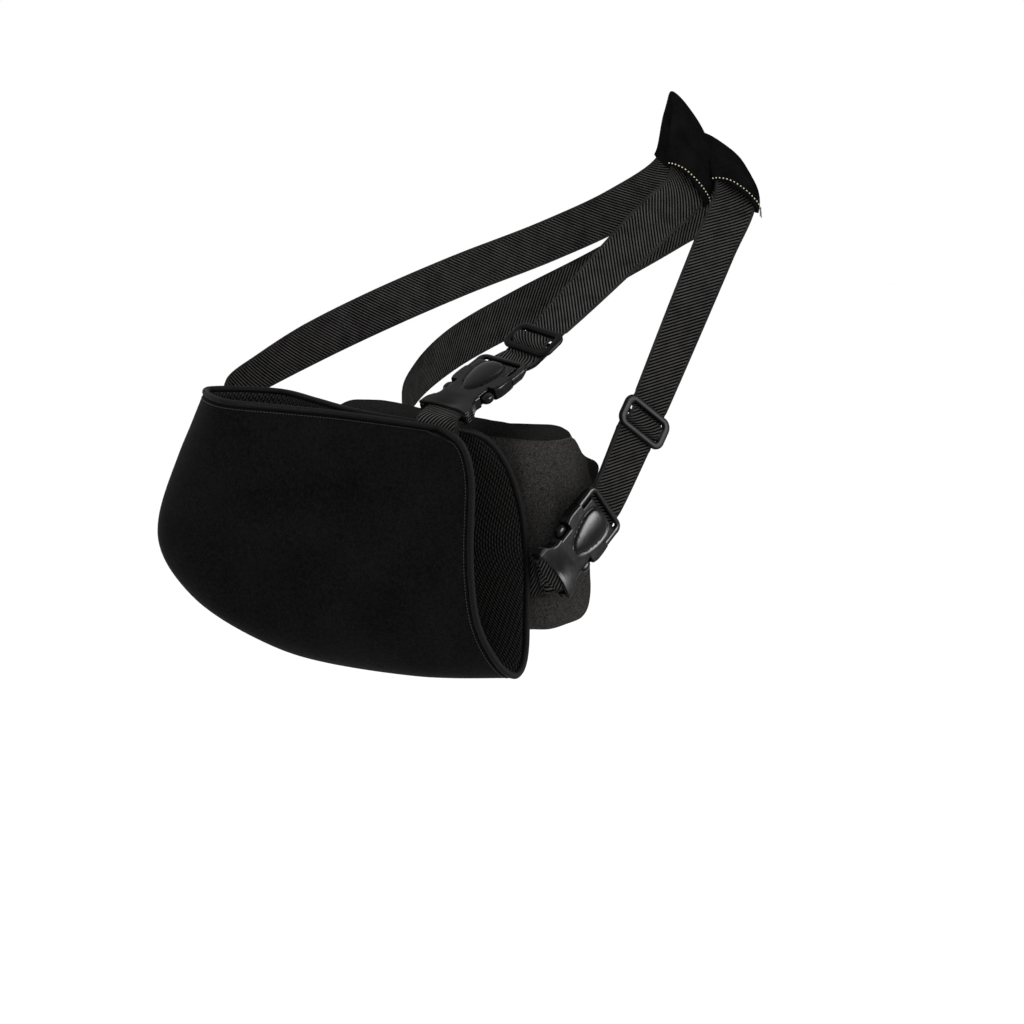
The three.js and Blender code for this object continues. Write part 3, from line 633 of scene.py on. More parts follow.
def seamed_cover(name, loop_tones, gusset_tones):
    """The pillow's cover: a speckled loop face, a smooth dark gusset above its seam and a smooth ear."""
    fleck_size, loop_size, grain_size, drift_size = 0.0009, 0.0024, 0.0008, 0.06
    seam_height, seam_blur = (ARM_PLACE[2] + PILLOW_SEAM_Z) * MM, 0.0003
    ear_from, ear_full = 0.12, 0.25
    material, tree, shader, places = start_material(name, specular=0.0)
    spot = places.outputs["Object"]
    fleck = noise(tree, spot, fleck_size, 3, 0.8)
    loops = add_shares(tree, fleck, noise(tree, spot, loop_size), 0.15)
    drift = noise(tree, spot, drift_size)
    share = ramp(tree, calc(tree, "MULTIPLY_ADD", drift, 0.08, loops), 0.42, 0.68)
    loop_face = blend_colors(tree, share, *loop_tones)
    grain = noise(tree, spot, grain_size)
    gusset = blend_colors(tree, ramp(tree, calc(tree, "ADD", grain, fleck), 0.7, 1.3), *gusset_tones)
    height = add_node(tree, "ShaderNodeSeparateXYZ", {"Vector": spot}).outputs["Z"]
    above_seam = ramp(tree, height, seam_height - seam_blur, seam_height + seam_blur)
    gathered = add_node(tree, "ShaderNodeAttribute", attribute_name="ear").outputs["Fac"]
    in_gusset = calc(tree, "MAXIMUM", above_seam, ramp(tree, gathered, ear_from, ear_full))
    color = blend_colors(tree, in_gusset, loop_face, gusset)
    relief = blend_values(tree, in_gusset, loops, calc(tree, "MULTIPLY", grain, 0.15))
    finish_material(tree, shader, color, ramp(tree, fleck, -2.0, 1.9), relief, 0.0008)
    return material


def rib_knit(name, tones, rib, depth):
    """A ribbed loop lining with short ribs that run down the wall."""
    loop_length, fuzz_size = rib * 1.7, 0.0012
    material, tree, shader, places = start_material(name, specular=0.04)
    sides = add_node(tree, "ShaderNodeSeparateXYZ", {"Vector": places.outputs["UV"]})
    across = calc(tree, "DIVIDE", sides.outputs["X"], rib)
    along = calc(tree, "DIVIDE", sides.outputs["Y"], loop_length)
    staggered = calc(tree, "ADD", along, calc(tree, "MULTIPLY", calc(tree, "FLOOR", across), 0.5))
    loops = calc(tree, "MULTIPLY", wave(tree, staggered, 1), 0.7)
    height = calc(tree, "ADD", wave(tree, across, 1), loops)
    fuzz = noise(tree, places.outputs["Object"], fuzz_size)
    share = ramp(tree, calc(tree, "ADD", height, calc(tree, "MULTIPLY", fuzz, 2.0)), 0.0, 2.4)
    color = blend_colors(tree, share, *tones)
    finish_material(tree, shader, color, ramp(tree, fuzz, -3.0, 1.6), share, depth)
    return material


def twill_webbing(name, lean, tones):
    """Woven webbing: diagonal lines of short floats between two plain selvages. The map is in metres."""
    line, warp, selvage = 0.0035, 0.0008, 0.0166
    edge_pick, edge_row = 0.0016, 0.0012
    wear_size, fibre_size = 0.012, 0.0007
    material, tree, shader, places = start_material(name, specular=0.0)
    sides = add_node(tree, "ShaderNodeSeparateXYZ", {"Vector": places.outputs["UV"]})
    across, along = sides.outputs["X"], sides.outputs["Y"]
    column = calc(tree, "DIVIDE", across, warp)
    stepped = calc(tree, "MULTIPLY", calc(tree, "FLOOR", column), lean * warp)
    phase = calc(tree, "DIVIDE", calc(tree, "ADD", along, stepped), line)
    ridge = ramp(tree, wave(tree, phase, 1), -0.3, 0.8)
    thread = calc(tree, "ABSOLUTE", wave(tree, column, 2))
    twill = calc(tree, "MULTIPLY", ridge, calc(tree, "MULTIPLY_ADD", thread, 0.4, 0.6))
    checks = calc(tree, "MULTIPLY", wave(tree, along, edge_pick), wave(tree, across, edge_row))
    plain = calc(tree, "MULTIPLY", ramp(tree, checks, -1.6, 2.2), 0.6)
    in_selvage = calc(tree, "GREATER_THAN", calc(tree, "ABSOLUTE", across), selvage)
    weave = blend_values(tree, in_selvage, twill, plain)
    wear = noise(tree, places.outputs["Object"], wear_size, 3)
    fibre = noise(tree, places.outputs["Object"], fibre_size)
    worn_weave = calc(tree, "MULTIPLY", weave, calc(tree, "ADD", ramp(tree, wear, 0.2, 0.9), 0.6))
    tone = calc(tree, "MULTIPLY", worn_weave, calc(tree, "ADD", fibre, 0.5))
    color = blend_colors(tree, tone, *tones)
    finish_material(tree, shader, color, ramp(tree, fibre, -1.6, 1.5), weave, 0.0005)
    return material


def ribbed_tape(name, tones, rib):
    """A narrow tape with fine ribs across its length."""
    fibre_size = 0.0008
    material, tree, shader, places = start_material(name, specular=0.05)
    sides = add_node(tree, "ShaderNodeSeparateXYZ", {"Vector": places.outputs["UV"]})
    ribs = wave(tree, sides.outputs["Y"], rib)
    fibre = noise(tree, places.outputs["Object"], fibre_size)
    share = ramp(tree, calc(tree, "ADD", ribs, calc(tree, "MULTIPLY", fibre, 1.6)), -0.6, 2.0)
    color = blend_colors(tree, share, *tones)
    finish_material(tree, shader, color, ramp(tree, fibre, -1.2, 1.6), ribs, 0.0002)
    return material


def smooth_cover(name, tones, roughness):
    """A close smooth cover cloth with a fine grain."""
    grain_size, crease_size = 0.0009, 0.018
    material, tree, shader, places = start_material(name, specular=0.0)
    spot = places.outputs["Object"]
    grain = noise(tree, spot, grain_size)
    crease = noise(tree, spot, crease_size, 4, 0.6)
    share = ramp(tree, calc(tree, "ADD", grain, crease), 0.7, 1.35)
    color = blend_colors(tree, share, *tones)
    height = calc(tree, "ADD", calc(tree, "MULTIPLY", grain, 0.12), crease)
    finish_material(tree, shader, color, ramp(tree, grain, -1.0, 1.0 / roughness), height, 0.0012)
    return material


def moulded_plastic(name, specular, smooth, rough):
    """Black moulding with a faint spark texture and rubbed patches, from smooth to rough."""
    spark_size, rub_size = 0.0006, 0.009
    material, tree, shader, places = start_material(name, specular)
    spot = places.outputs["Object"]
    spark = noise(tree, spot, spark_size)
    rub = noise(tree, spot, rub_size, 3)
    color = blend_colors(tree, rub, *PLASTIC_TONES)
    roughness = add_node(tree, "ShaderNodeMapRange", {"Value": rub, "To Min": smooth, "To Max": rough})
    finish_material(tree, shader, color, roughness.outputs["Result"], spark, 0.00006)
    return material


def sewing_thread(name, tones):
    """Twisted sewing thread with a slight sheen."""
    twist_size = 0.0006
    material, tree, shader, places = start_material(name, specular=0.3)
    shader.inputs["Sheen Weight"].default_value = 0.1
    shader.inputs["Sheen Roughness"].default_value = 0.4
    twist = noise(tree, places.outputs["Object"], twist_size)
    color = blend_colors(tree, twist, *tones)
    finish_material(tree, shader, color, ramp(tree, twist, -2.0, 1.6), twist, 0.0001)
    return material


pouch_cloth = brushed_cloth("pouch_cloth", POUCH_TONES, fleck_size=0.0011, depth=0.0004)
pouch_lining = rib_knit("pouch_lining", LINING_TONES, rib=0.0026, depth=0.0009)
pillow_cloth = seamed_cover("pillow_cloth", LOOP_TONES, GUSSET_TONES)
binding_tape = ribbed_tape("edge_binding", BINDING_TONES, rib=0.0011)
webbing_left = twill_webbing("webbing_left", -1, POUCH_STRAP_TONES)
webbing_right = twill_webbing("webbing_right", 1, PILLOW_STRAP_TONES)
pad_cover = smooth_cover("pad_cloth", PAD_TONES, roughness=0.75)
buckle_plastic = moulded_plastic("buckle_plastic", specular=0.07, smooth=0.18, rough=0.3)
slide_plastic = moulded_plastic("slide_plastic", specular=0.04, smooth=0.35, rough=0.5)
black_thread = sewing_thread("black_thread", BLACK_THREAD_TONES)
cream_thread = sewing_thread("cream_thread", CREAM_THREAD_TONES)
loose_thread = sewing_thread("loose_thread", LOOSE_THREAD_TONES)


# Stitching

def stitch_nodes():
    """A tree that lays stitches along a line, end to end with small gaps."""
    tree = bpy.data.node_groups.new("stitch_line", "GeometryNodeTree")
    face = tree.interface
    face.new_socket("Line", in_out="INPUT", socket_type="NodeSocketGeometry")
    for label in ("Pitch", "Stitch", "Thread"):
        face.new_socket(label, in_out="INPUT", socket_type="NodeSocketFloat")
    face.new_socket("Finish", in_out="INPUT", socket_type="NodeSocketMaterial")
    face.new_socket("Stitches", in_out="OUTPUT", socket_type="NodeSocketGeometry")
    given = tree.nodes.new("NodeGroupInput").outputs

    def result(output, kind, inputs=None, **settings):
        return add_node(tree, kind, inputs, **settings).outputs[output]

    path = result("Curve", "GeometryNodeMeshToCurve", {"Mesh": given["Line"]})
    spacing = {"Curve": path, "Length": given["Pitch"]}
    spaced = result("Curve", "GeometryNodeResampleCurve", spacing, mode="LENGTH")
    bead = result("Mesh", "GeometryNodeMeshUVSphere", {
        "Segments": BEAD_SEGMENTS, "Rings": BEAD_RINGS, "Radius": 0.5})
    size = result("Vector", "ShaderNodeCombineXYZ", {
        "X": given["Thread"], "Y": given["Thread"], "Z": given["Stitch"]})
    tangent = result("Tangent", "GeometryNodeInputTangent")
    turned = result("Rotation", "FunctionNodeAlignRotationToVector", {"Vector": tangent}, axis="Z")
    laid = result("Instances", "GeometryNodeInstanceOnPoints", {
        "Points": spaced, "Instance": bead, "Rotation": turned, "Scale": size})
    real = result("Geometry", "GeometryNodeRealizeInstances", {"Geometry": laid})
    smooth = result("Geometry", "GeometryNodeSetShadeSmooth", {"Geometry": real})
    dressed = result("Geometry", "GeometryNodeSetMaterial", {"Geometry": smooth, "Material": given["Finish"]})
    done = tree.nodes.new("NodeGroupOutput")
    tree.links.new(dressed, done.inputs["Stitches"])
    return tree


STITCHES = stitch_nodes()


def stitch_line(name, lines, sizes, finish, slot):
    """Stitches along lines of points in millimetres, as one plain piece."""
    mesh = bpy.data.meshes.new(name + "_line")
    points = np.concatenate(lines) * MM
    edges = []
    start = 0
    for line in lines:
        edges += [(start + i, start + i + 1) for i in range(len(line) - 1)]
        start += len(line)
    mesh.from_pydata(points.tolist(), edges, [])
    guide = add_object(name + "_line", mesh)
    modifier = guide.modifiers.new("stitches", "NODES")
    modifier.node_group = STITCHES
    pitch, stitch, thread = (size * MM for size in sizes)
    values = {"Pitch": pitch, "Stitch": stitch, "Thread": thread, "Finish": finish}
    for item in STITCHES.interface.items_tree:
        if item.name in values:
            modifier[item.identifier] = values[item.name]
    made = evaluated_mesh(guide, name)
    bpy.data.objects.remove(guide)
    return settle(add_object(name, made), slot)


# Forearm pouch

elbow_line, mouth_line, top_line, keel_line = (
    plain_curve(edge) for edge in (ELBOW_EDGE, MOUTH_EDGE, TOP_EDGE, KEEL_EDGE))
gape_line = plain_curve(np.stack([np.arange(len(TOP_GAPE)), TOP_GAPE], axis=-1))


def pouch_side_view(along, down):
    """The pouch seen from the side: a patch stretched between its four edges."""
    p = np.asarray(along)[:, None, None]
    s = np.asarray(down)[None, :, None]
    elbow, mouth = at_shares(elbow_line, down)[None], at_shares(mouth_line, down)[None]
    top, keel = at_shares(top_line, along)[:, None], at_shares(keel_line, along)[:, None]
    corners = (elbow_line[0] * (1 - p) * (1 - s) + mouth_line[0] * p * (1 - s)
               + elbow_line[-1] * (1 - p) * s + mouth_line[-1] * p * s)
    return elbow * (1 - p) + mouth * p + top * (1 - s) + keel * s - corners


def pouch_half_width(along, down):
    """Half the width of the pouch: round at the elbow and keel, narrow along the open top."""
    p = np.asarray(along)[:, None]
    s = np.asarray(down)[None, :]
    rise = np.minimum(1, p * POUCH_ELBOW_REACH / POUCH_ELBOW_ROUND)
    elbow = np.sqrt(1 - (1 - rise) ** 2)
    fall = np.clip((s - POUCH_FULLEST_AT) / (1 - POUCH_FULLEST_AT), 0, 1)
    lower = POUCH_HALF_WIDTH * np.sqrt(np.clip(1 - fall ** 2, 0, 1))
    gape = np.interp(p * (len(TOP_GAPE) - 1), gape_line[:, 0], gape_line[:, 1])
    swell = np.sin(math.pi / 2 * np.clip(s / POUCH_FULLEST_AT, 0, 1))
    upper = gape + (POUCH_HALF_WIDTH - gape) * swell
    return elbow * np.where(s > POUCH_FULLEST_AT, lower, upper)


def cloth_drift(side_view):
    """Soft unevenness of the stretched cloth, in millimetres."""
    x, z = side_view[..., 0], side_view[..., 1]
    return sum(high * np.sin(x / wave_x + z / wave_z + start) for high, wave_x, wave_z, start in SLACK_WAVES)


def pouch_skin(along, down, side, inner):
    """One skin of one wall, as a grid of points in the arm frame."""
    view = pouch_side_view(along, down)
    half = pouch_half_width(along, down)
    half = half + cloth_drift(view) * np.clip(half / POUCH_SLACK_FROM, 0, 1)
    if inner:
        view = view + np.stack(np.broadcast_arrays(
            POUCH_WALL * (1 - np.asarray(along)[:, None]), POUCH_WALL * np.asarray(down)[None, :]), axis=-1)
        half = np.maximum(0, half - POUCH_WALL * np.minimum(1, half / POUCH_FULL_WALL_AT))
    return np.stack([view[..., 0], side * half, view[..., 1]], axis=-1)


pouch_along = np.linspace(0, 1, POUCH_ALONG_STEPS + 1) ** POUCH_ELBOW_CROWDING
pouch_down = np.sin(np.linspace(0, 1, POUCH_DOWN_STEPS + 1) * math.pi / 2)


def forearm_pouch():
    """The pouch: two walls joined at the elbow and keel, open along the top and at the mouth."""
    points, maps, faces, slots = [], [], [], []
    rows, columns = len(pouch_along), len(pouch_down)

    def quad(a, b, c, d, flip, slot):
        faces.append((a, d, c, b) if flip else (a, b, c, d))
        slots.append(slot)

    for side in (-1, 1):
        grids = []
        for inner in (False, True):
            first = len(points) * rows * columns
            grids.append((first + np.arange(rows * columns)).reshape(rows, columns).tolist())
            skin = pouch_skin(pouch_along, pouch_down, side, inner)
            spread = np.stack([running_length(skin, 0), running_length(skin, 1)], axis=-1)
            points.append(skin.reshape(-1, 3))
            maps.append(spread.reshape(-1, 2) * MM)
        outer, lining = grids
        for i in range(rows - 1):
            for j in range(columns - 1):
                for grid, flip, slot in ((outer, side > 0, 0), (lining, side < 0, 1)):
                    quad(grid[i][j], grid[i][j + 1], grid[i + 1][j + 1], grid[i + 1][j], flip, slot)
            quad(outer[i][0], outer[i + 1][0], lining[i + 1][0], lining[i][0], side > 0, 0)
        for j in range(columns - 1):
            quad(outer[-1][j], outer[-1][j + 1], lining[-1][j + 1], lining[-1][j], side > 0, 0)
    placed = place_points(ARM, np.concatenate(points))
    return make_piece("pouch_shell", placed, faces, [pouch_cloth, pouch_lining], np.concatenate(maps), slots)


def rim_stations(side):
    """Rim points of one wall, along the top and down the mouth, with the way out of the edge."""
    outer = pouch_skin(pouch_along, pouch_down, side, False)
    inner = pouch_skin(pouch_along, pouch_down, side, True)
    skins = [np.concatenate([grid[:, 0], grid[-1, 1:]]) for grid in (outer, inner)]
    middle = (skins[0] + skins[1]) / 2
    way = np.gradient(middle, axis=0)
    out = unit(np.stack([-way[:, 2], np.zeros(len(way)), way[:, 0]], axis=-1))
    lip = np.maximum(*[np.sum((skin - middle) * out, axis=1) for skin in skins])
    return middle + out * lip[:, None], out


def pouch_binding():
    """The bound edge: a rolled tape round the open top and the mouth of both walls, in one loop."""
    front, front_out = rim_stations(-1)
    back, back_out = rim_stations(1)
    path = np.concatenate([front, back[::-1][1:-1]])
    out = np.concatenate([front_out, back_out[::-1][1:-1]])
    path = path + out * BINDING_STAND
    along = unit(np.roll(path, -1, axis=0) - np.roll(path, 1, axis=0))
    side = unit(np.cross(along, out))
    up = np.cross(side, along)
    angles = np.linspace(0, 2 * math.pi, BINDING_SIDES, endpoint=False)
    high, wide = np.cos(angles) * BINDING_HALF_HIGH, np.sin(angles) * BINDING_HALF_WIDE
    rings = [at + np.outer(high, rise) + np.outer(wide, over) for at, rise, over in zip(path, up, side)]
    run = running_length(path, 0)
    maps = np.stack([np.tile(np.sin(angles), len(path)) * MM, np.repeat(run, BINDING_SIDES) * MM], axis=-1)
    points, faces = loft(rings, closed=True)
    return make_piece("pouch_edge_binding", place_points(ARM, points), faces, [binding_tape], maps)


def edge_stitch_lines():
    """Lines a little inside the bound edges, just proud of the outer skin of each wall."""
    down = np.array([EDGE_STITCH_INSET / POUCH_HEIGHT])
    along = np.array([1 - EDGE_STITCH_INSET / POUCH_LENGTH])
    lines = []
    for side in (-1, 1):
        top = pouch_skin(pouch_along[STITCHED_TOP], down, side, False)[:, 0]
        mouth = pouch_skin(along, pouch_down[STITCHED_MOUTH], side, False)[0]
        line = np.concatenate([top, mouth])
        line[:, 1] += side * EDGE_STITCH_LIFT
        lines.append(place_points(ARM, line))
    return lines


# Abduction pillow

def ring_of(rows, count):
    """Evenly spaced points on a closed smooth curve through rows."""
    rows = np.asarray(rows, float)
    wrapped = np.vstack([rows[-2:], rows, rows[:3]])
    fine = [curve_point(wrapped, 2 + t) for t in np.linspace(0, len(rows), RING_STEPS)]
    return at_shares(np.array(fine), np.linspace(0, 1, count, endpoint=False))


def pillow_start():
    """The pillow's block before it is filled: drawn in a little all round."""
    outline = ring_of(PILLOW_SECTION, PILLOW_RING)
    size = outline.max(axis=0) - outline.min(axis=0)
    middle = np.array([PILLOW_MIDDLE_Y, PILLOW_MIDDLE_Z])
    rings = []
    for x, draw_in, lift in PILLOW_ROWS:
        drawn = middle + (outline - middle) * (1 - 2 * (draw_in + PILLOW_START_IN) / size)
        upper = np.clip((outline[:, 1] - PILLOW_MIDDLE_Z) / -PILLOW_MIDDLE_Z, 0, 1)
        drawn[:, 1] += lift * upper * upper * (3 - 2 * upper)
        shift = PILLOW_START_IN if x < 0 else -PILLOW_START_IN
        x_here = x + shift * (abs(x - PILLOW_MIDDLE_X) > PILLOW_ENDS_BEYOND)
        rings.append(np.column_stack([np.full(len(drawn), x_here), drawn]))
    points, faces = loft(rings)
    return make_piece("pillow_cushion", place_points(ARM, points), faces, [pillow_cloth])


def fill_cushion(piece):
    """Swells the pillow by a short cloth simulation and keeps each point within a cap."""
    remesh = piece.modifiers.new("voxels", "REMESH")
    remesh.mode = "VOXEL"
    remesh.voxel_size = PILLOW_VOXEL
    piece.data = evaluated_mesh(piece, piece.name)
    piece.modifiers.clear()
    rest = coordinates(piece.data)
    cloth = piece.modifiers.new("filling", "CLOTH")
    cloth.settings.use_pressure = True
    cloth.settings.uniform_pressure_force = PILLOW_PRESSURE
    cloth.settings.effector_weights.gravity = 0
    cloth.settings.quality = PILLOW_QUALITY
    cloth.point_cache.frame_start = 1
    cloth.point_cache.frame_end = PILLOW_FRAMES
    for step in range(1, PILLOW_FRAMES + 1):
        bpy.context.scene.frame_set(step)
    swollen = coordinates(evaluated_mesh(piece, piece.name + "_filled"))
    piece.modifiers.clear()
    bpy.context.scene.frame_set(1)
    move = swollen - rest
    length = np.maximum(np.linalg.norm(move, axis=1)[:, None], SMALLEST_MOVE)
    capped = rest + move * np.minimum(1, PILLOW_MOST_MOVE / length)
    piece.data.vertices.foreach_set("co", capped.ravel())


def gather_ear(points):
    """The gathered corner of the cover, pushed out from the hand end, and each point's share in it."""
    away = np.sum((points - np.array(EAR_AT)) ** 2, axis=1)
    share = np.exp(-away / (2 * EAR_SPREAD ** 2))
    return points + EAR_REACH * np.outer(share, EAR_WAY), share / share.max()


def abduction_pillow():
    """The filled pillow with its gathered corner and the seam under its top."""
    piece = pillow_start()
    fill_cushion(piece)
    smooth = piece.modifiers.new("smooth", "SUBSURF")
    smooth.levels = 1
    smooth.render_levels = 1
    piece.data = evaluated_mesh(piece, "pillow_cushion")
    piece.modifiers.clear()
    local = place_points(ARM.inverted(), coordinates(piece.data) / MM)
    local, in_ear = gather_ear(local)
    normals = np.empty(len(local) * 3)
    piece.data.vertices.foreach_get("normal", normals)
    dip = SEAM_DIP * np.exp(-((local[:, 2] - PILLOW_SEAM_Z) / SEAM_DIP_REACH) ** 2)
    local -= normals.reshape(-1, 3) * dip[:, None]
    piece.data.vertices.foreach_set("co", (place_points(ARM, local) * MM).ravel())
    piece.data.attributes.new("ear", "FLOAT", "POINT").data.foreach_set("value", in_ear)
    piece.data.materials.clear()
    piece.data.materials.append(pillow_cloth)
    piece.data.shade_smooth()
    return piece


def seam_line(mesh):
    """The pillow's seam: where its skin crosses the seam height, from point to point round it."""
    local = place_points(ARM.inverted(), coordinates(mesh) / MM)
    ends = np.empty(len(mesh.edges) * 2, dtype=np.int32)
    mesh.edges.foreach_get("vertices", ends)
    first, second = local[ends[0::2]], local[ends[1::2]]
    above, below = first[:, 2] - PILLOW_SEAM_Z, second[:, 2] - PILLOW_SEAM_Z
    crossing = above * below < 0
    above, below = above[crossing, None], below[crossing, None]
    share = above / (above - below)
    points = first[crossing] * (1 - share) + second[crossing] * share
    middle = points.mean(axis=0)
    around = np.argsort(np.arctan2(points[:, 1] - middle[1], points[:, 0] - middle[0]))
    ring = at_shares(points[around], np.linspace(0, 1, SEAM_POINTS, endpoint=False))
    out = ring - middle
    out[:, 2] = 0
    ring = ring + unit(out) * SEAM_STITCH_LIFT
    return place_points(ARM, np.vstack([ring, ring[:1]]))


# Webbing

def worn_row(row):
    """A strap row of the worn frame as a place and a way across."""
    at = place_points(WORN, [row[:3]])[0]
    across = np.array(WORN.to_3x3() @ Vector(row[3:]).normalized())
    return at, across


def row_in(frame_matrix, point, across=(0, -1, 0)):
    """A strap row given in another frame."""
    at = place_points(frame_matrix, [point])[0]
    return at, np.array((frame_matrix.to_3x3() @ Vector(across)).normalized())


def wrap_rows(frame_matrix, bar_x, bar_z, turn, start=90):
    """Half a turn of webbing round a bar, starting at an angle above the bar's tail or strap side."""
    radius = BAR_RADIUS + CLEARANCE + WEBBING_THICK / 2
    rows = []
    for degrees in WRAP_DEGREES:
        angle = math.radians(start - degrees)
        point = (bar_x + turn * radius * math.cos(angle), 0, bar_z + radius * math.sin(angle))
        rows.append(row_in(frame_matrix, point))
    return rows


def strap_end(mouth, slide, buckle):
    """The strap end: straight to the slide, through it, round the plug bar and doubled back."""
    under = -(SLIDE_THICK / 2 + CLEARANCE + WEBBING_THICK / 2)
    doubled = under - WEBBING_THICK - 2 * CLEARANCE
    slide_rows = [row_in(slide, (x, 0, -side * under)) for x, side in SLIDE_WAY]
    rows = []
    for share in STRAIGHT_SHARES:
        at, across = (mouth[k] * (1 - share) + slide_rows[0][k] * share for k in (0, 1))
        rows.append((at, unit(across)))
    rows += slide_rows
    rows += [row_in(buckle, (x, 0, z_in)) for x, z_in, _ in PLUG_WAY]
    rows += wrap_rows(buckle, PLUG_BAR_X, PLUG_BAR_Z, -1)
    rows += [row_in(buckle, (x, 0, z_out)) for x, _, z_out in reversed(PLUG_WAY)]
    rows += [row_in(slide, (x, 0, doubled)) for x in DOUBLED_WAY]
    return rows


def strap_route(sewn, sewn_across, back, pad, slide, buckle):
    """A strap's rows from its sewn end to its doubled end, and the rows where the pad starts and ends."""
    pad_rows = [worn_row(row) for row in pad]
    rows = [row_in(ARM, point, sewn_across) for point in sewn] + [worn_row(row) for row in back]
    first = len(rows)
    rows += pad_rows + strap_end(pad_rows[-1], slide, buckle)
    return rows, first, first + len(pad) - 1


def tab_rows(outer, inner, buckle, start):
    """A folded tab: two layers from where it is sewn, straight on to the socket's tail bar and round it."""
    wrap = wrap_rows(buckle, 0, TAIL_BAR_Z, 1, start)
    angle = math.radians(start)
    back = np.array(buckle.to_3x3() @ Vector((-math.sin(angle), 0, math.cos(angle)))) * TAB_LEAD
    leads = [(at + back, across) for at, across in (wrap[0], wrap[-1])]
    return [*outer, leads[0], *wrap, leads[1], *inner]


def pillow_tab_layer(side, buckle):
    """One layer of the pillow tab, from the bar back to where it lies flat between the pouch and pillow."""
    angle = math.radians(PILLOW_TAB_START)
    turn = buckle.to_3x3()
    along = np.array(turn @ Vector((math.sin(angle), 0, -math.cos(angle))))
    bar_face = np.array(turn @ Vector((-math.cos(angle), 0, -math.sin(angle))))
    pillow_face = np.array(ARM.to_3x3() @ Vector((0, 1, 0)))
    bar = place_points(buckle, [(0, 0, TAIL_BAR_Z)])[0]
    rows = []
    for back, flat, over, half_fold in PILLOW_TAB_WAY:
        face = unit(bar_face * (1 - flat) + pillow_face * flat)
        at = bar - along * back + pillow_face * over + face * side * half_fold
        rows.append((at, unit(np.cross(face, along))))
    return rows


def strap_frames(rows, first, last, steps):
    """Places and ways along a strap between two rows."""
    places = np.array([row[0] for row in rows])
    ways = np.array([row[1] for row in rows])
    frames = []
    for t in np.linspace(first, last, round((last - first) * steps) + 1):
        here = curve_point(places, t)
        after, before = min(t + SLOPE_STEP, len(rows) - 1), max(t - SLOPE_STEP, 0)
        along = unit(curve_point(places, after) - curve_point(places, before))
        wide = curve_point(ways, t)
        wide = unit(wide - along * np.dot(wide, along))
        frames.append((here, wide, np.cross(along, wide)))
    return frames


def webbing_section():
    """The webbing's section: flat faces with rounded selvages, columns across and outward."""
    half = WEBBING_WIDTH / 2
    across = half * np.sin(np.linspace(-1, 1, SELVAGE_POINTS) * math.pi / 2)
    thick = WEBBING_THICK / 2 * (1 - SELVAGE_THINNER * np.abs(across / half) ** SELVAGE_SHARPNESS)
    top = np.column_stack([across, thick])
    return np.vstack([top, top[::-1] * (1, -1)])


def webbing(name, rows, finish):
    """A length of webbing along its rows, mapped in metres across and along."""
    frames = strap_frames(rows, 0, len(rows) - 1, STRAP_STEPS)
    section = webbing_section()
    rings = [at + np.outer(section[:, 0], wide) + np.outer(section[:, 1], out) for at, wide, out in frames]
    run = running_length(np.array([at for at, _, _ in frames]), 0)
    maps = np.column_stack([np.tile(section[:, 0], len(rings)), np.repeat(run, len(section))]) * MM
    points, faces = loft(rings)
    return make_piece(name, points, faces, [finish], maps), run[-1]


# Shoulder pad

def squared_oval(width, thick, square_wide, square_high, count):
    """A squared oval, columns across and outward."""
    angles = np.linspace(0, 2 * math.pi, count, endpoint=False)
    wide = np.sign(np.cos(angles)) * np.abs(np.cos(angles)) ** square_wide
    high = np.sign(np.sin(angles)) * np.abs(np.sin(angles)) ** square_high
    return np.column_stack([wide * width / 2, high * thick / 2])


def pad_flare(share):
    """How far a place along the pad has opened towards a mouth, for the front and the rear."""
    front = np.clip((share - 1 + PAD_FLARE) / PAD_FLARE, 0, 1) ** 2
    rear = np.clip((PAD_FLARE - share) / PAD_FLARE, 0, 1) ** 2
    return front, rear


def pad_section(inner, share):
    """A section of a pad tunnel at a share of its length; its roof arches up towards the mouths."""
    if inner:
        section = squared_oval(PAD_TUNNEL_WIDTH, PAD_TUNNEL_HIGH, *PAD_TUNNEL_SQUARE, PAD_RING)
    else:
        section = squared_oval(PAD_WIDTH, PAD_THICK, *PAD_SQUARE, PAD_RING)
    front, rear = pad_flare(share)
    lift = PAD_MOUTH_LIFT * (front + PAD_REAR_LIFT * rear)
    side = np.clip(2 * section[:, 0] / PAD_WIDTH, -1, 1)
    reach = np.where(side < PAD_MOUTH_PEAK, 1 + PAD_MOUTH_PEAK, 1 - PAD_MOUTH_PEAK)
    arch = np.cos(math.pi / 2 * (side - PAD_MOUTH_PEAK) / reach)
    roof = section[:, 1] > 0
    section[roof, 1] += lift * arch[roof]
    return section


def pad_ring(inner, share, at, wide, out):
    """A ring of a pad tunnel; the front mouth is cut on a slant, lower on its far side."""
    section = pad_section(inner, share)
    along = np.cross(wide, out)
    slant = PAD_MOUTH_SLANT * pad_flare(share)[0] * 2 * section[:, 0] / PAD_WIDTH
    return at + np.outer(section[:, 0], wide) + np.outer(section[:, 1], out) + np.outer(slant, along)


def pad_lobe(rows, first, last):
    """One padded tunnel round a strap: an outer skin, an inner skin and a rim at each mouth."""
    frames = strap_frames(rows, first, last, PAD_STEPS)
    shares = np.linspace(0, 1, len(frames))
    outer, inner = ([pad_ring(inner, share, *place) for share, place in zip(shares, frames)]
                    for inner in (False, True))
    return outer + inner[::-1]


def shoulder_pad(lobes):
    """Two padded tunnels side by side, one for each strap."""
    bodies = [loft(pad_lobe(rows, first, last), closed=True) for rows, first, last in lobes]
    points, faces = join_bodies(bodies)
    return make_piece("pad_cushion", points, faces, [pad_cover])


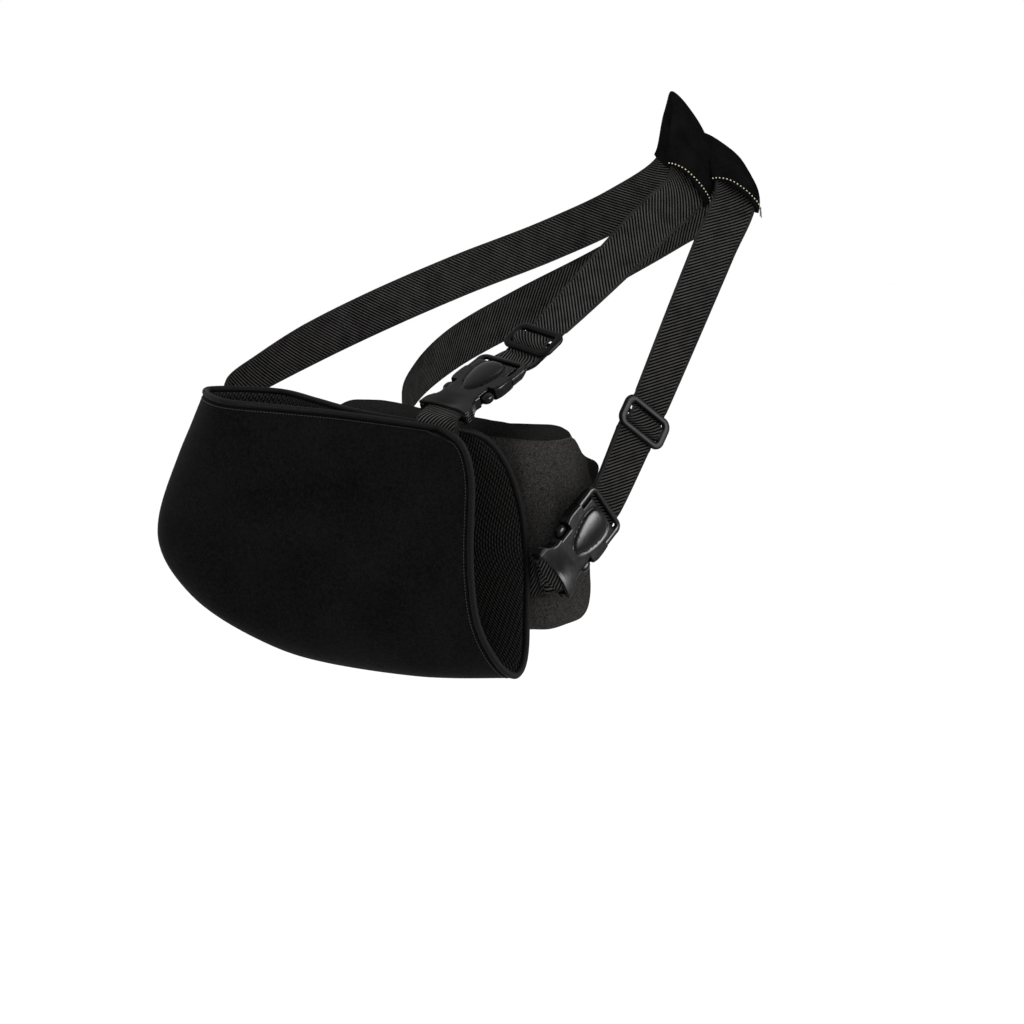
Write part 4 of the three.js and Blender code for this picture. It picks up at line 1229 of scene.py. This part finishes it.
def mouth_stitch_line(rows, first, last):
    """A line over the roof of a pad's front mouth, a little inside its edge and just proud of the cloth."""
    frames = strap_frames(rows, first, last, PAD_STEPS)
    index = len(frames) - 1 - MOUTH_STITCH_STEPS_IN
    at, wide, out = frames[index]
    ring = pad_ring(False, index / (len(frames) - 1), at + out * MOUTH_STITCH_LIFT, wide, out)
    return ring[1:PAD_RING // 2]


def loose_threads(line):
    """Short thread ends that fan out from the start of a stitch line."""
    start = line[0]
    away = unit(start - line[2])
    down = np.array([0, 0, -1.0])
    ends = []
    for angle in np.radians(np.linspace(*LOOSE_FAN, LOOSE_THREADS)):
        way = away * math.cos(angle) + down * math.sin(angle)
        length = LOOSE_REACH * (1 + LOOSE_UNEVEN * math.sin(LOOSE_WAVES * angle))
        bend = start + LOOSE_BEND_AT * length * way
        ends.append(np.array([start, bend, start + length * (LOOSE_END_AT * way + LOOSE_DROOP * down)]))
    return ends


# Buckles and slides

tail_line, front_line = plain_curve(TAIL_SIDE), plain_curve(FRONT_SIDE)


def eased(low, high, count):
    """Values from low to high, closer together near both ends."""
    return low + (high - low) * (0.5 - 0.5 * np.cos(np.linspace(0, math.pi, count)))


def socket_half(x):
    """Half the socket's width: a fishtail, a waist at the side notches and a full mouth."""
    tail = np.interp(x, tail_line[:, 0], tail_line[:, 1])
    front = np.interp(x, front_line[:, 0], front_line[:, 1])
    return np.where(x < NOTCH_FROM, tail, np.where(x < NOTCH_TO, SOCKET_WAIST, front))


def thumb_half(x):
    """Half the width of the thumb rest: an egg with its narrow end towards the tail."""
    reach = np.where(x < THUMB_WIDEST, THUMB_WIDEST - THUMB_FROM, THUMB_TO - THUMB_WIDEST)
    power = np.where(x < THUMB_WIDEST, THUMB_POINTED, THUMB_BLUNT)
    share = np.abs(x - THUMB_WIDEST) / reach
    return THUMB_HALF * np.sqrt(np.clip(1 - share ** power, 0, 1)) + THUMB_SMALLEST


def buckle_face(x, y):
    """Height of the outer face: a raised egg-shaped thumb rest and a hollow between the tail's corners."""
    half = thumb_half(x)
    fullness = (half / THUMB_HALF) ** THUMB_FULLNESS
    dome = THUMB_HIGH * fullness * np.sqrt(np.clip(1 - (y / half) ** 2, 0, 1))
    from_groove = (np.abs(y) - half - GROOVE_AWAY) / GROOVE_REACH
    groove = GROOVE_DEEP * np.exp(-from_groove ** 2) * (x > THUMB_FROM + 1)
    near_tail = np.clip((TAIL_HOLLOW_TO - x) / TAIL_HOLLOW_TO, 0, 1)
    hollow = TAIL_HOLLOW * np.exp(-(y / TAIL_HOLLOW_HALF) ** 2) * near_tail
    return SOCKET_HALF_THICK + dome - groove - hollow


def level_face(height):
    """A level face at a height."""
    def face(x, y):
        return np.full_like(x, height)
    return face


def slab(xs, low_y, high_y, bottom, top, rounding, free_ends):
    """A moulded block between two side lines whose faces follow bottom and top, with rounded edges."""
    across = eased(0, 1, SLAB_COLUMNS)
    x = np.repeat(xs[:, None], len(across), axis=1)
    y = low_y[:, None] + (high_y - low_y)[:, None] * across[None, :]
    inset = np.minimum(y - low_y[:, None], high_y[:, None] - y)
    if free_ends[0]:
        inset = np.minimum(inset, x - xs[0])
    if free_ends[1]:
        inset = np.minimum(inset, xs[-1] - x)
    edge = rounding - np.sqrt(np.maximum(0, rounding ** 2 - (rounding - np.minimum(inset, rounding)) ** 2))
    upper = np.stack([x, y, top(x, y) - edge], axis=-1)
    lower = np.stack([x, y, bottom + edge], axis=-1)
    return closed_grid(upper, lower)


def closed_grid(upper, lower):
    """Points and faces of a body between two equal grids."""
    rows, columns = upper.shape[:2]
    count = rows * columns
    index = np.arange(count).reshape(rows, columns)
    faces = []
    for i in range(rows - 1):
        for j in range(columns - 1):
            square = (index[i, j], index[i + 1, j], index[i + 1, j + 1], index[i, j + 1])
            faces.append(square)
            faces.append(tuple(count + k for k in reversed(square)))
    rim = [*index[0, :-1], *index[:-1, -1], *index[-1, :0:-1], *index[:0:-1, 0]]
    for a, b in zip(rim, rim[1:] + rim[:1]):
        faces.append((a, b, b + count, a + count))
    points = np.concatenate([upper.reshape(-1, 3), lower.reshape(-1, 3)])
    return points, [tuple(int(k) for k in face) for face in faces]


def sweep(path, sections, closed=False):
    """A bar along a level path, its sections in columns across and up."""
    path = np.asarray(path, float)
    along = np.roll(path, -1, axis=0) - np.roll(path, 1, axis=0) if closed else np.gradient(path, axis=0)
    across = unit(np.column_stack([-along[:, 1], along[:, 0], np.zeros(len(path))]))
    up = np.array([0, 0, 1.0])
    rings = [at + np.outer(section[:, 0], side) + np.outer(section[:, 1], up)
             for at, side, section in zip(path, across, sections)]
    return loft(rings, closed)


def straight_bar(x, z, half_length, half_wide, half_high, power=1.0):
    """A rounded bar across the fitting."""
    section = squared_oval(2 * half_wide, 2 * half_high, power, power, BAR_SIDES)
    path = [(x, y, z) for y in np.linspace(-half_length, half_length, BAR_POINTS)]
    return sweep(path, [section] * len(path))


def corner_arc(centre_x, centre_y, radius, start):
    """A quarter turn in plan, as points."""
    angles = np.radians(np.linspace(start, start + 90, CORNER_POINTS))
    return [(centre_x + radius * math.cos(a), centre_y + radius * math.sin(a)) for a in angles]


def prong_lobe(side):
    """The rounded grip of a prong, standing in the side notch."""
    middle = (NOTCH_FROM + NOTCH_TO) / 2
    half_long = (NOTCH_TO - NOTCH_FROM) / 2 - PRONG_END_GAP
    rings = []
    for share in np.linspace(-1, 1, PRONG_STEPS):
        size = max(PRONG_SMALLEST, math.sqrt(1 - abs(share) ** PRONG_ROUND))
        section = squared_oval(PRONG_WIDE * size, PRONG_HIGH * size, PRONG_SQUARE, PRONG_SQUARE, FRAME_SIDES)
        y = side * (SOCKET_WAIST + PRONG_SIDE_GAP + PRONG_STAND * size)
        rings.append(np.column_stack([np.full(len(section), middle + half_long * share),
                                      y + section[:, 0], section[:, 1]]))
    return loft(rings)


def fishtail(points):
    """Draws the middle of the tail's edge in, so that its corners stand out."""
    points = np.array(points)
    near_tail = np.clip((SOCKET_ROOF_TO - points[:, 0]) / (SOCKET_ROOF_TO - TAIL_FROM), 0, 1)
    points[:, 0] += TAIL_CURVE * near_tail * np.clip(1 - (points[:, 1] / TAIL_HALF) ** 2, 0, 1)
    return points


def buckle_socket(name, place):
    """The socket: a fishtail body with a thumb rest, a lip over the plug, a roofed tail slot and its bar."""
    breaks = [edge + step for edge in (NOTCH_FROM, NOTCH_TO) for step in (-NOTCH_STEP, NOTCH_STEP)]
    body_x = np.unique(np.concatenate([eased(SOCKET_BODY_FROM, SOCKET_TO, SOCKET_ROWS), breaks]))
    half = socket_half(body_x)
    body = slab(body_x, -half, half, -SOCKET_HALF_THICK, buckle_face, SOCKET_ROUND, (False, False))
    lip_x = eased(SOCKET_TO - LIP_INTO_SOCKET, LIP_TO, LIP_ROWS)
    half = np.full(len(lip_x), LIP_HALF)
    lip = slab(lip_x, -half, half, LIP_LOW, buckle_face, LIP_ROUND, (False, True))
    roof_x = np.linspace(TAIL_FROM, SOCKET_ROOF_TO, ROOF_ROWS)
    half = socket_half(roof_x)
    roof_points, roof_faces = slab(roof_x, -half, half, SOCKET_ROOF, buckle_face, ROOF_ROUND, (True, False))
    slot_side = np.full(len(roof_x), SLOT_HALF)
    rail_top = level_face(SOCKET_ROOF + RAIL_INTO_ROOF)
    rails = [slab(roof_x, *sides, -SOCKET_HALF_THICK, rail_top, RAIL_ROUND, (True, False))
             for sides in ((-half, -slot_side), (slot_side, half))]
    bar = straight_bar(0, TAIL_BAR_Z, SLOT_HALF + BAR_SUNK, BAR_RADIUS, BAR_RADIUS)
    roof = (fishtail(roof_points), roof_faces)
    points, faces = join_bodies([body, lip, roof, *rails, bar, *tail_ribs(), *lip_teeth()])
    return make_piece(name, place_points(place, points), faces, [buckle_plastic], crease=BUCKLE_CREASE)


def tail_ribs():
    """Grip ribs along both sides of the tail."""
    section = squared_oval(2 * TAIL_RIB_RADIUS, 2 * TAIL_RIB_RADIUS, 1, 1, TAIL_RIB_SIDES)
    rib_x = np.linspace(TAIL_RIB_FROM, TAIL_RIB_TO, TAIL_RIB_POINTS)
    ribs = []
    for side in (-1, 1):
        for z in np.linspace(-TAIL_RIB_SPREAD, TAIL_RIB_SPREAD, TAIL_RIBS):
            path = [(x, side * socket_half(x), z) for x in rib_x]
            ribs.append(sweep(path, [section] * len(path)))
    return ribs


def lip_teeth():
    """The comb of fine teeth along the lip's edge, which grips the strap."""
    bodies = []
    for i in range(TEETH):
        y = (i - (TEETH - 1) / 2) * TOOTH_PITCH
        rings = []
        for past, half, top in TOOTH_ENDS:
            corners = ((-half, LIP_LOW), (half, LIP_LOW), (half, top), (-half, top))
            rings.append(np.array([(LIP_TO + past, y + wide, z) for wide, z in corners]))
        bodies.append(loft(rings))
    return bodies


def plug_frame():
    """The plug's rounded frame: two deep side rails that run into a slim end bar over the strap."""
    inset = PLUG_RAIL_Y - PLUG_CORNER
    arc_x = PLUG_END_X - PLUG_CORNER
    plan = [(x, -PLUG_RAIL_Y) for x in np.linspace(PLUG_FROM, arc_x, PLUG_RAIL_POINTS)[:-1]]
    plan += corner_arc(arc_x, -inset, PLUG_CORNER, -90)
    plan += [(PLUG_END_X, y) for y in np.linspace(-inset, inset, END_BAR_POINTS)[1:-1]]
    plan += corner_arc(arc_x, inset, PLUG_CORNER, 0)
    plan += [(x, PLUG_RAIL_Y) for x in np.linspace(arc_x, PLUG_FROM, PLUG_RAIL_POINTS)[1:]]
    path, sections = [], []
    for x, y in plan:
        to_end = np.clip((x - arc_x + PLUG_TAPER_BEFORE) / PLUG_TAPER_LONG, 0, 1)
        half_high = PLUG_HALF_THICK + (END_BAR_HALF_HIGH - PLUG_HALF_THICK) * to_end
        width = PLUG_RAIL_WIDE - PLUG_RAIL_NARROWS * np.clip((x - arc_x) / PLUG_CORNER, 0, 1)
        path.append((x, y, END_BAR_Z * to_end))
        sections.append(squared_oval(width, 2 * half_high, *PLUG_SQUARE, FRAME_SIDES))
    return sweep(path, sections)


def buckle_plug(name, place):
    """The plug: a front block under the lip, a strap bar, a frame and two prong grips."""
    front_x = np.linspace(PLUG_FROM, PLUG_FRONT_TO, PLUG_FRONT_ROWS)
    half = np.full(len(front_x), SLOT_HALF + PLUG_FRONT_INTO_RAIL)
    under_lip = level_face(LIP_LOW - LIP_GAP)
    front = slab(front_x, -half, half, -PLUG_HALF_THICK, under_lip, PLUG_FRONT_ROUND, (True, True))
    rod = straight_bar(PLUG_BAR_X, PLUG_BAR_Z, SLOT_HALF + BAR_SUNK, BAR_RADIUS, BAR_RADIUS)
    lobes = [prong_lobe(side) for side in (-1, 1)]
    points, faces = join_bodies([front, rod, plug_frame(), *lobes])
    return make_piece(name, place_points(place, points), faces, [buckle_plastic], crease=BUCKLE_CREASE)


def strap_slide(name, place):
    """A slide: a rounded frame with a bar across its middle."""
    inner_x, inner_y = SLIDE_HALF_LONG - SLIDE_CORNER, SLIDE_HALF_WIDE - SLIDE_CORNER
    plan = []
    for start, sign_x, sign_y in ((0, 1, 1), (90, -1, 1), (180, -1, -1), (270, 1, -1)):
        plan += corner_arc(sign_x * inner_x, sign_y * inner_y, SLIDE_CORNER, start)
    path = [(x, y, SLIDE_RAIL_RISE) for x, y in plan]
    sections = []
    for x, y in plan:
        side_rail = np.clip((abs(y) - inner_y) / SLIDE_CORNER, 0, 1)
        half_wide = SLIDE_RAIL + (SLIDE_SIDE_RAIL - SLIDE_RAIL) * side_rail
        powers = (SLIDE_SQUARE - SLIDE_SQUARER_SIDE * side_rail, SLIDE_SQUARE_HIGH)
        sections.append(squared_oval(2 * half_wide, 2 * SLIDE_HALF_HIGH, *powers, BAR_SIDES))
    frame_ring = sweep(path, sections, closed=True)
    bar = straight_bar(0, 0, SLIDE_HALF_WIDE - SLIDE_BAR_SUNK, SLIDE_BAR, SLIDE_THICK / 2, SLIDE_SQUARE)
    points, faces = join_bodies([frame_ring, bar])
    return make_piece(name, place_points(place, points), faces, [slide_plastic], crease=SLIDE_CREASE)


# Stage, light and camera

def make_stage():
    """A wide pale floor."""
    mesh = bpy.data.meshes.new("studio_floor")
    angles = np.linspace(0, 2 * math.pi, FLOOR_SIDES, endpoint=False)
    rim = [(FLOOR_RADIUS * math.cos(a), FLOOR_RADIUS * math.sin(a), FLOOR_HEIGHT) for a in angles]
    mesh.from_pydata(rim, [], [tuple(range(len(rim)))])
    floor = add_object("studio_floor", mesh)
    paint = bpy.data.materials.new("studio_paint")
    paint.use_nodes = True
    shader = paint.node_tree.nodes["Principled BSDF"]
    shader.inputs["Base Color"].default_value = (STAGE_WHITE, STAGE_WHITE, STAGE_WHITE, 1)
    shader.inputs["Roughness"].default_value = FLOOR_ROUGHNESS
    mesh.materials.append(paint)


def make_light(name, place, size, power, only_gloss):
    """A soft square light that faces the sling; a gloss light shows only as a highlight."""
    lamp = bpy.data.lights.new(name, "AREA")
    lamp.size = size
    lamp.energy = power
    light = add_object(name, lamp)
    light.location = place
    light.visible_diffuse = not only_gloss
    aim = Vector(LIGHTS_AIM) - Vector(place)
    light.rotation_euler = aim.to_track_quat("-Z", "Y").to_euler()


def make_world():
    """An even white surround."""
    world = bpy.data.worlds.new("studio_surround")
    world.use_nodes = True
    background = world.node_tree.nodes["Background"]
    background.inputs["Color"].default_value = (1, 1, 1, 1)
    background.inputs["Strength"].default_value = SURROUND
    bpy.context.scene.world = world
    bpy.context.scene.view_settings.view_transform = "Standard"


def make_camera():
    """The camera at the photo's angle."""
    data = bpy.data.cameras.new("photo_camera")
    data.lens = CAMERA_LENS
    data.sensor_width = CAMERA_SENSOR
    camera = add_object("photo_camera", data)
    camera.location = CAMERA_PLACE
    camera.rotation_euler = Vector(CAMERA_WAY).to_track_quat("-Z", "Y").to_euler()
    bpy.context.scene.camera = camera


# Assembly

make_camera()
make_world()
make_stage()
for light_row in LIGHTS:
    make_light(*light_row)

pouch_buckle, pouch_slide, pillow_buckle, pillow_slide = (
    fitting_frame(place) for place in (POUCH_BUCKLE, POUCH_SLIDE, PILLOW_BUCKLE, PILLOW_SLIDE))

pouch = settle(forearm_pouch(), "pouch_cloth", "pouch_front_wall", "pouch_back_wall")
binding = settle(pouch_binding(), "edge_binding", "pouch_binding")
edge_stitches = stitch_line(
    "pouch_edge_stitches", edge_stitch_lines(), EDGE_STITCH, black_thread, "edge_binding")

pillow = settle(abduction_pillow(), "pillow_cloth", "abduction_pillow")
stitch_line("pillow_seam_stitches", [seam_line(pillow.data)], SEAM_STITCH, black_thread, "pillow_cloth")

pouch_route = strap_route(
    ELBOW_SEWN, ELBOW_SEWN_ACROSS, POUCH_STRAP_BACK, POUCH_STRAP_PAD, pouch_slide, pouch_buckle)
pillow_route = strap_route(
    PILLOW_SEWN, PILLOW_SEWN_ACROSS, PILLOW_STRAP_BACK, PILLOW_STRAP_PAD, pillow_slide, pillow_buckle)
pouch_tab_layers = [[row_in(ARM, point, POUCH_TAB_ACROSS) for point in layer]
                    for layer in (POUCH_TAB_OUTER, POUCH_TAB_INNER)]
pillow_tab_layers = [pillow_tab_layer(-1, pillow_buckle)[::-1], pillow_tab_layer(1, pillow_buckle)]
lengths_of_webbing = (
    ("pouch_strap", pouch_route[0], webbing_left, "stretched"),
    ("pillow_strap", pillow_route[0], webbing_right, "stretched"),
    ("pouch_tab", tab_rows(*pouch_tab_layers, pouch_buckle, POUCH_TAB_START), webbing_left, "folded"),
    ("pillow_tab", tab_rows(*pillow_tab_layers, pillow_buckle, PILLOW_TAB_START), webbing_right, "folded"),
)
for node, rows, finish, held in lengths_of_webbing:
    strap, length = webbing(node + "_webbing", rows, finish)
    settle(strap, "webbing", node)

pad_lobes = [pouch_route, pillow_route]
pad = settle(shoulder_pad(pad_lobes), "pad_cloth", "shoulder_pad")
mouth_lines = [mouth_stitch_line(*lobe) for lobe in pad_lobes]
stitch_line("pad_mouth_stitches", mouth_lines, MOUTH_STITCH, cream_thread, "pad_cloth")
stitch_line("pad_loose_threads", loose_threads(mouth_lines[1]), LOOSE_STITCH, loose_thread, "pad_cloth")

for name, place in (("pouch", pouch_buckle), ("pillow", pillow_buckle)):
    settle(buckle_socket(name + "_socket_moulding", place), "buckle_plastic", name + "_buckle_socket")
    settle(buckle_plug(name + "_plug_moulding", place), "buckle_plastic", name + "_buckle_plug")
for name, place in (("pouch", pouch_slide), ("pillow", pillow_slide)):
    settle(strap_slide(name + "_slide_moulding", place), "buckle_plastic", name + "_strap_adjuster")
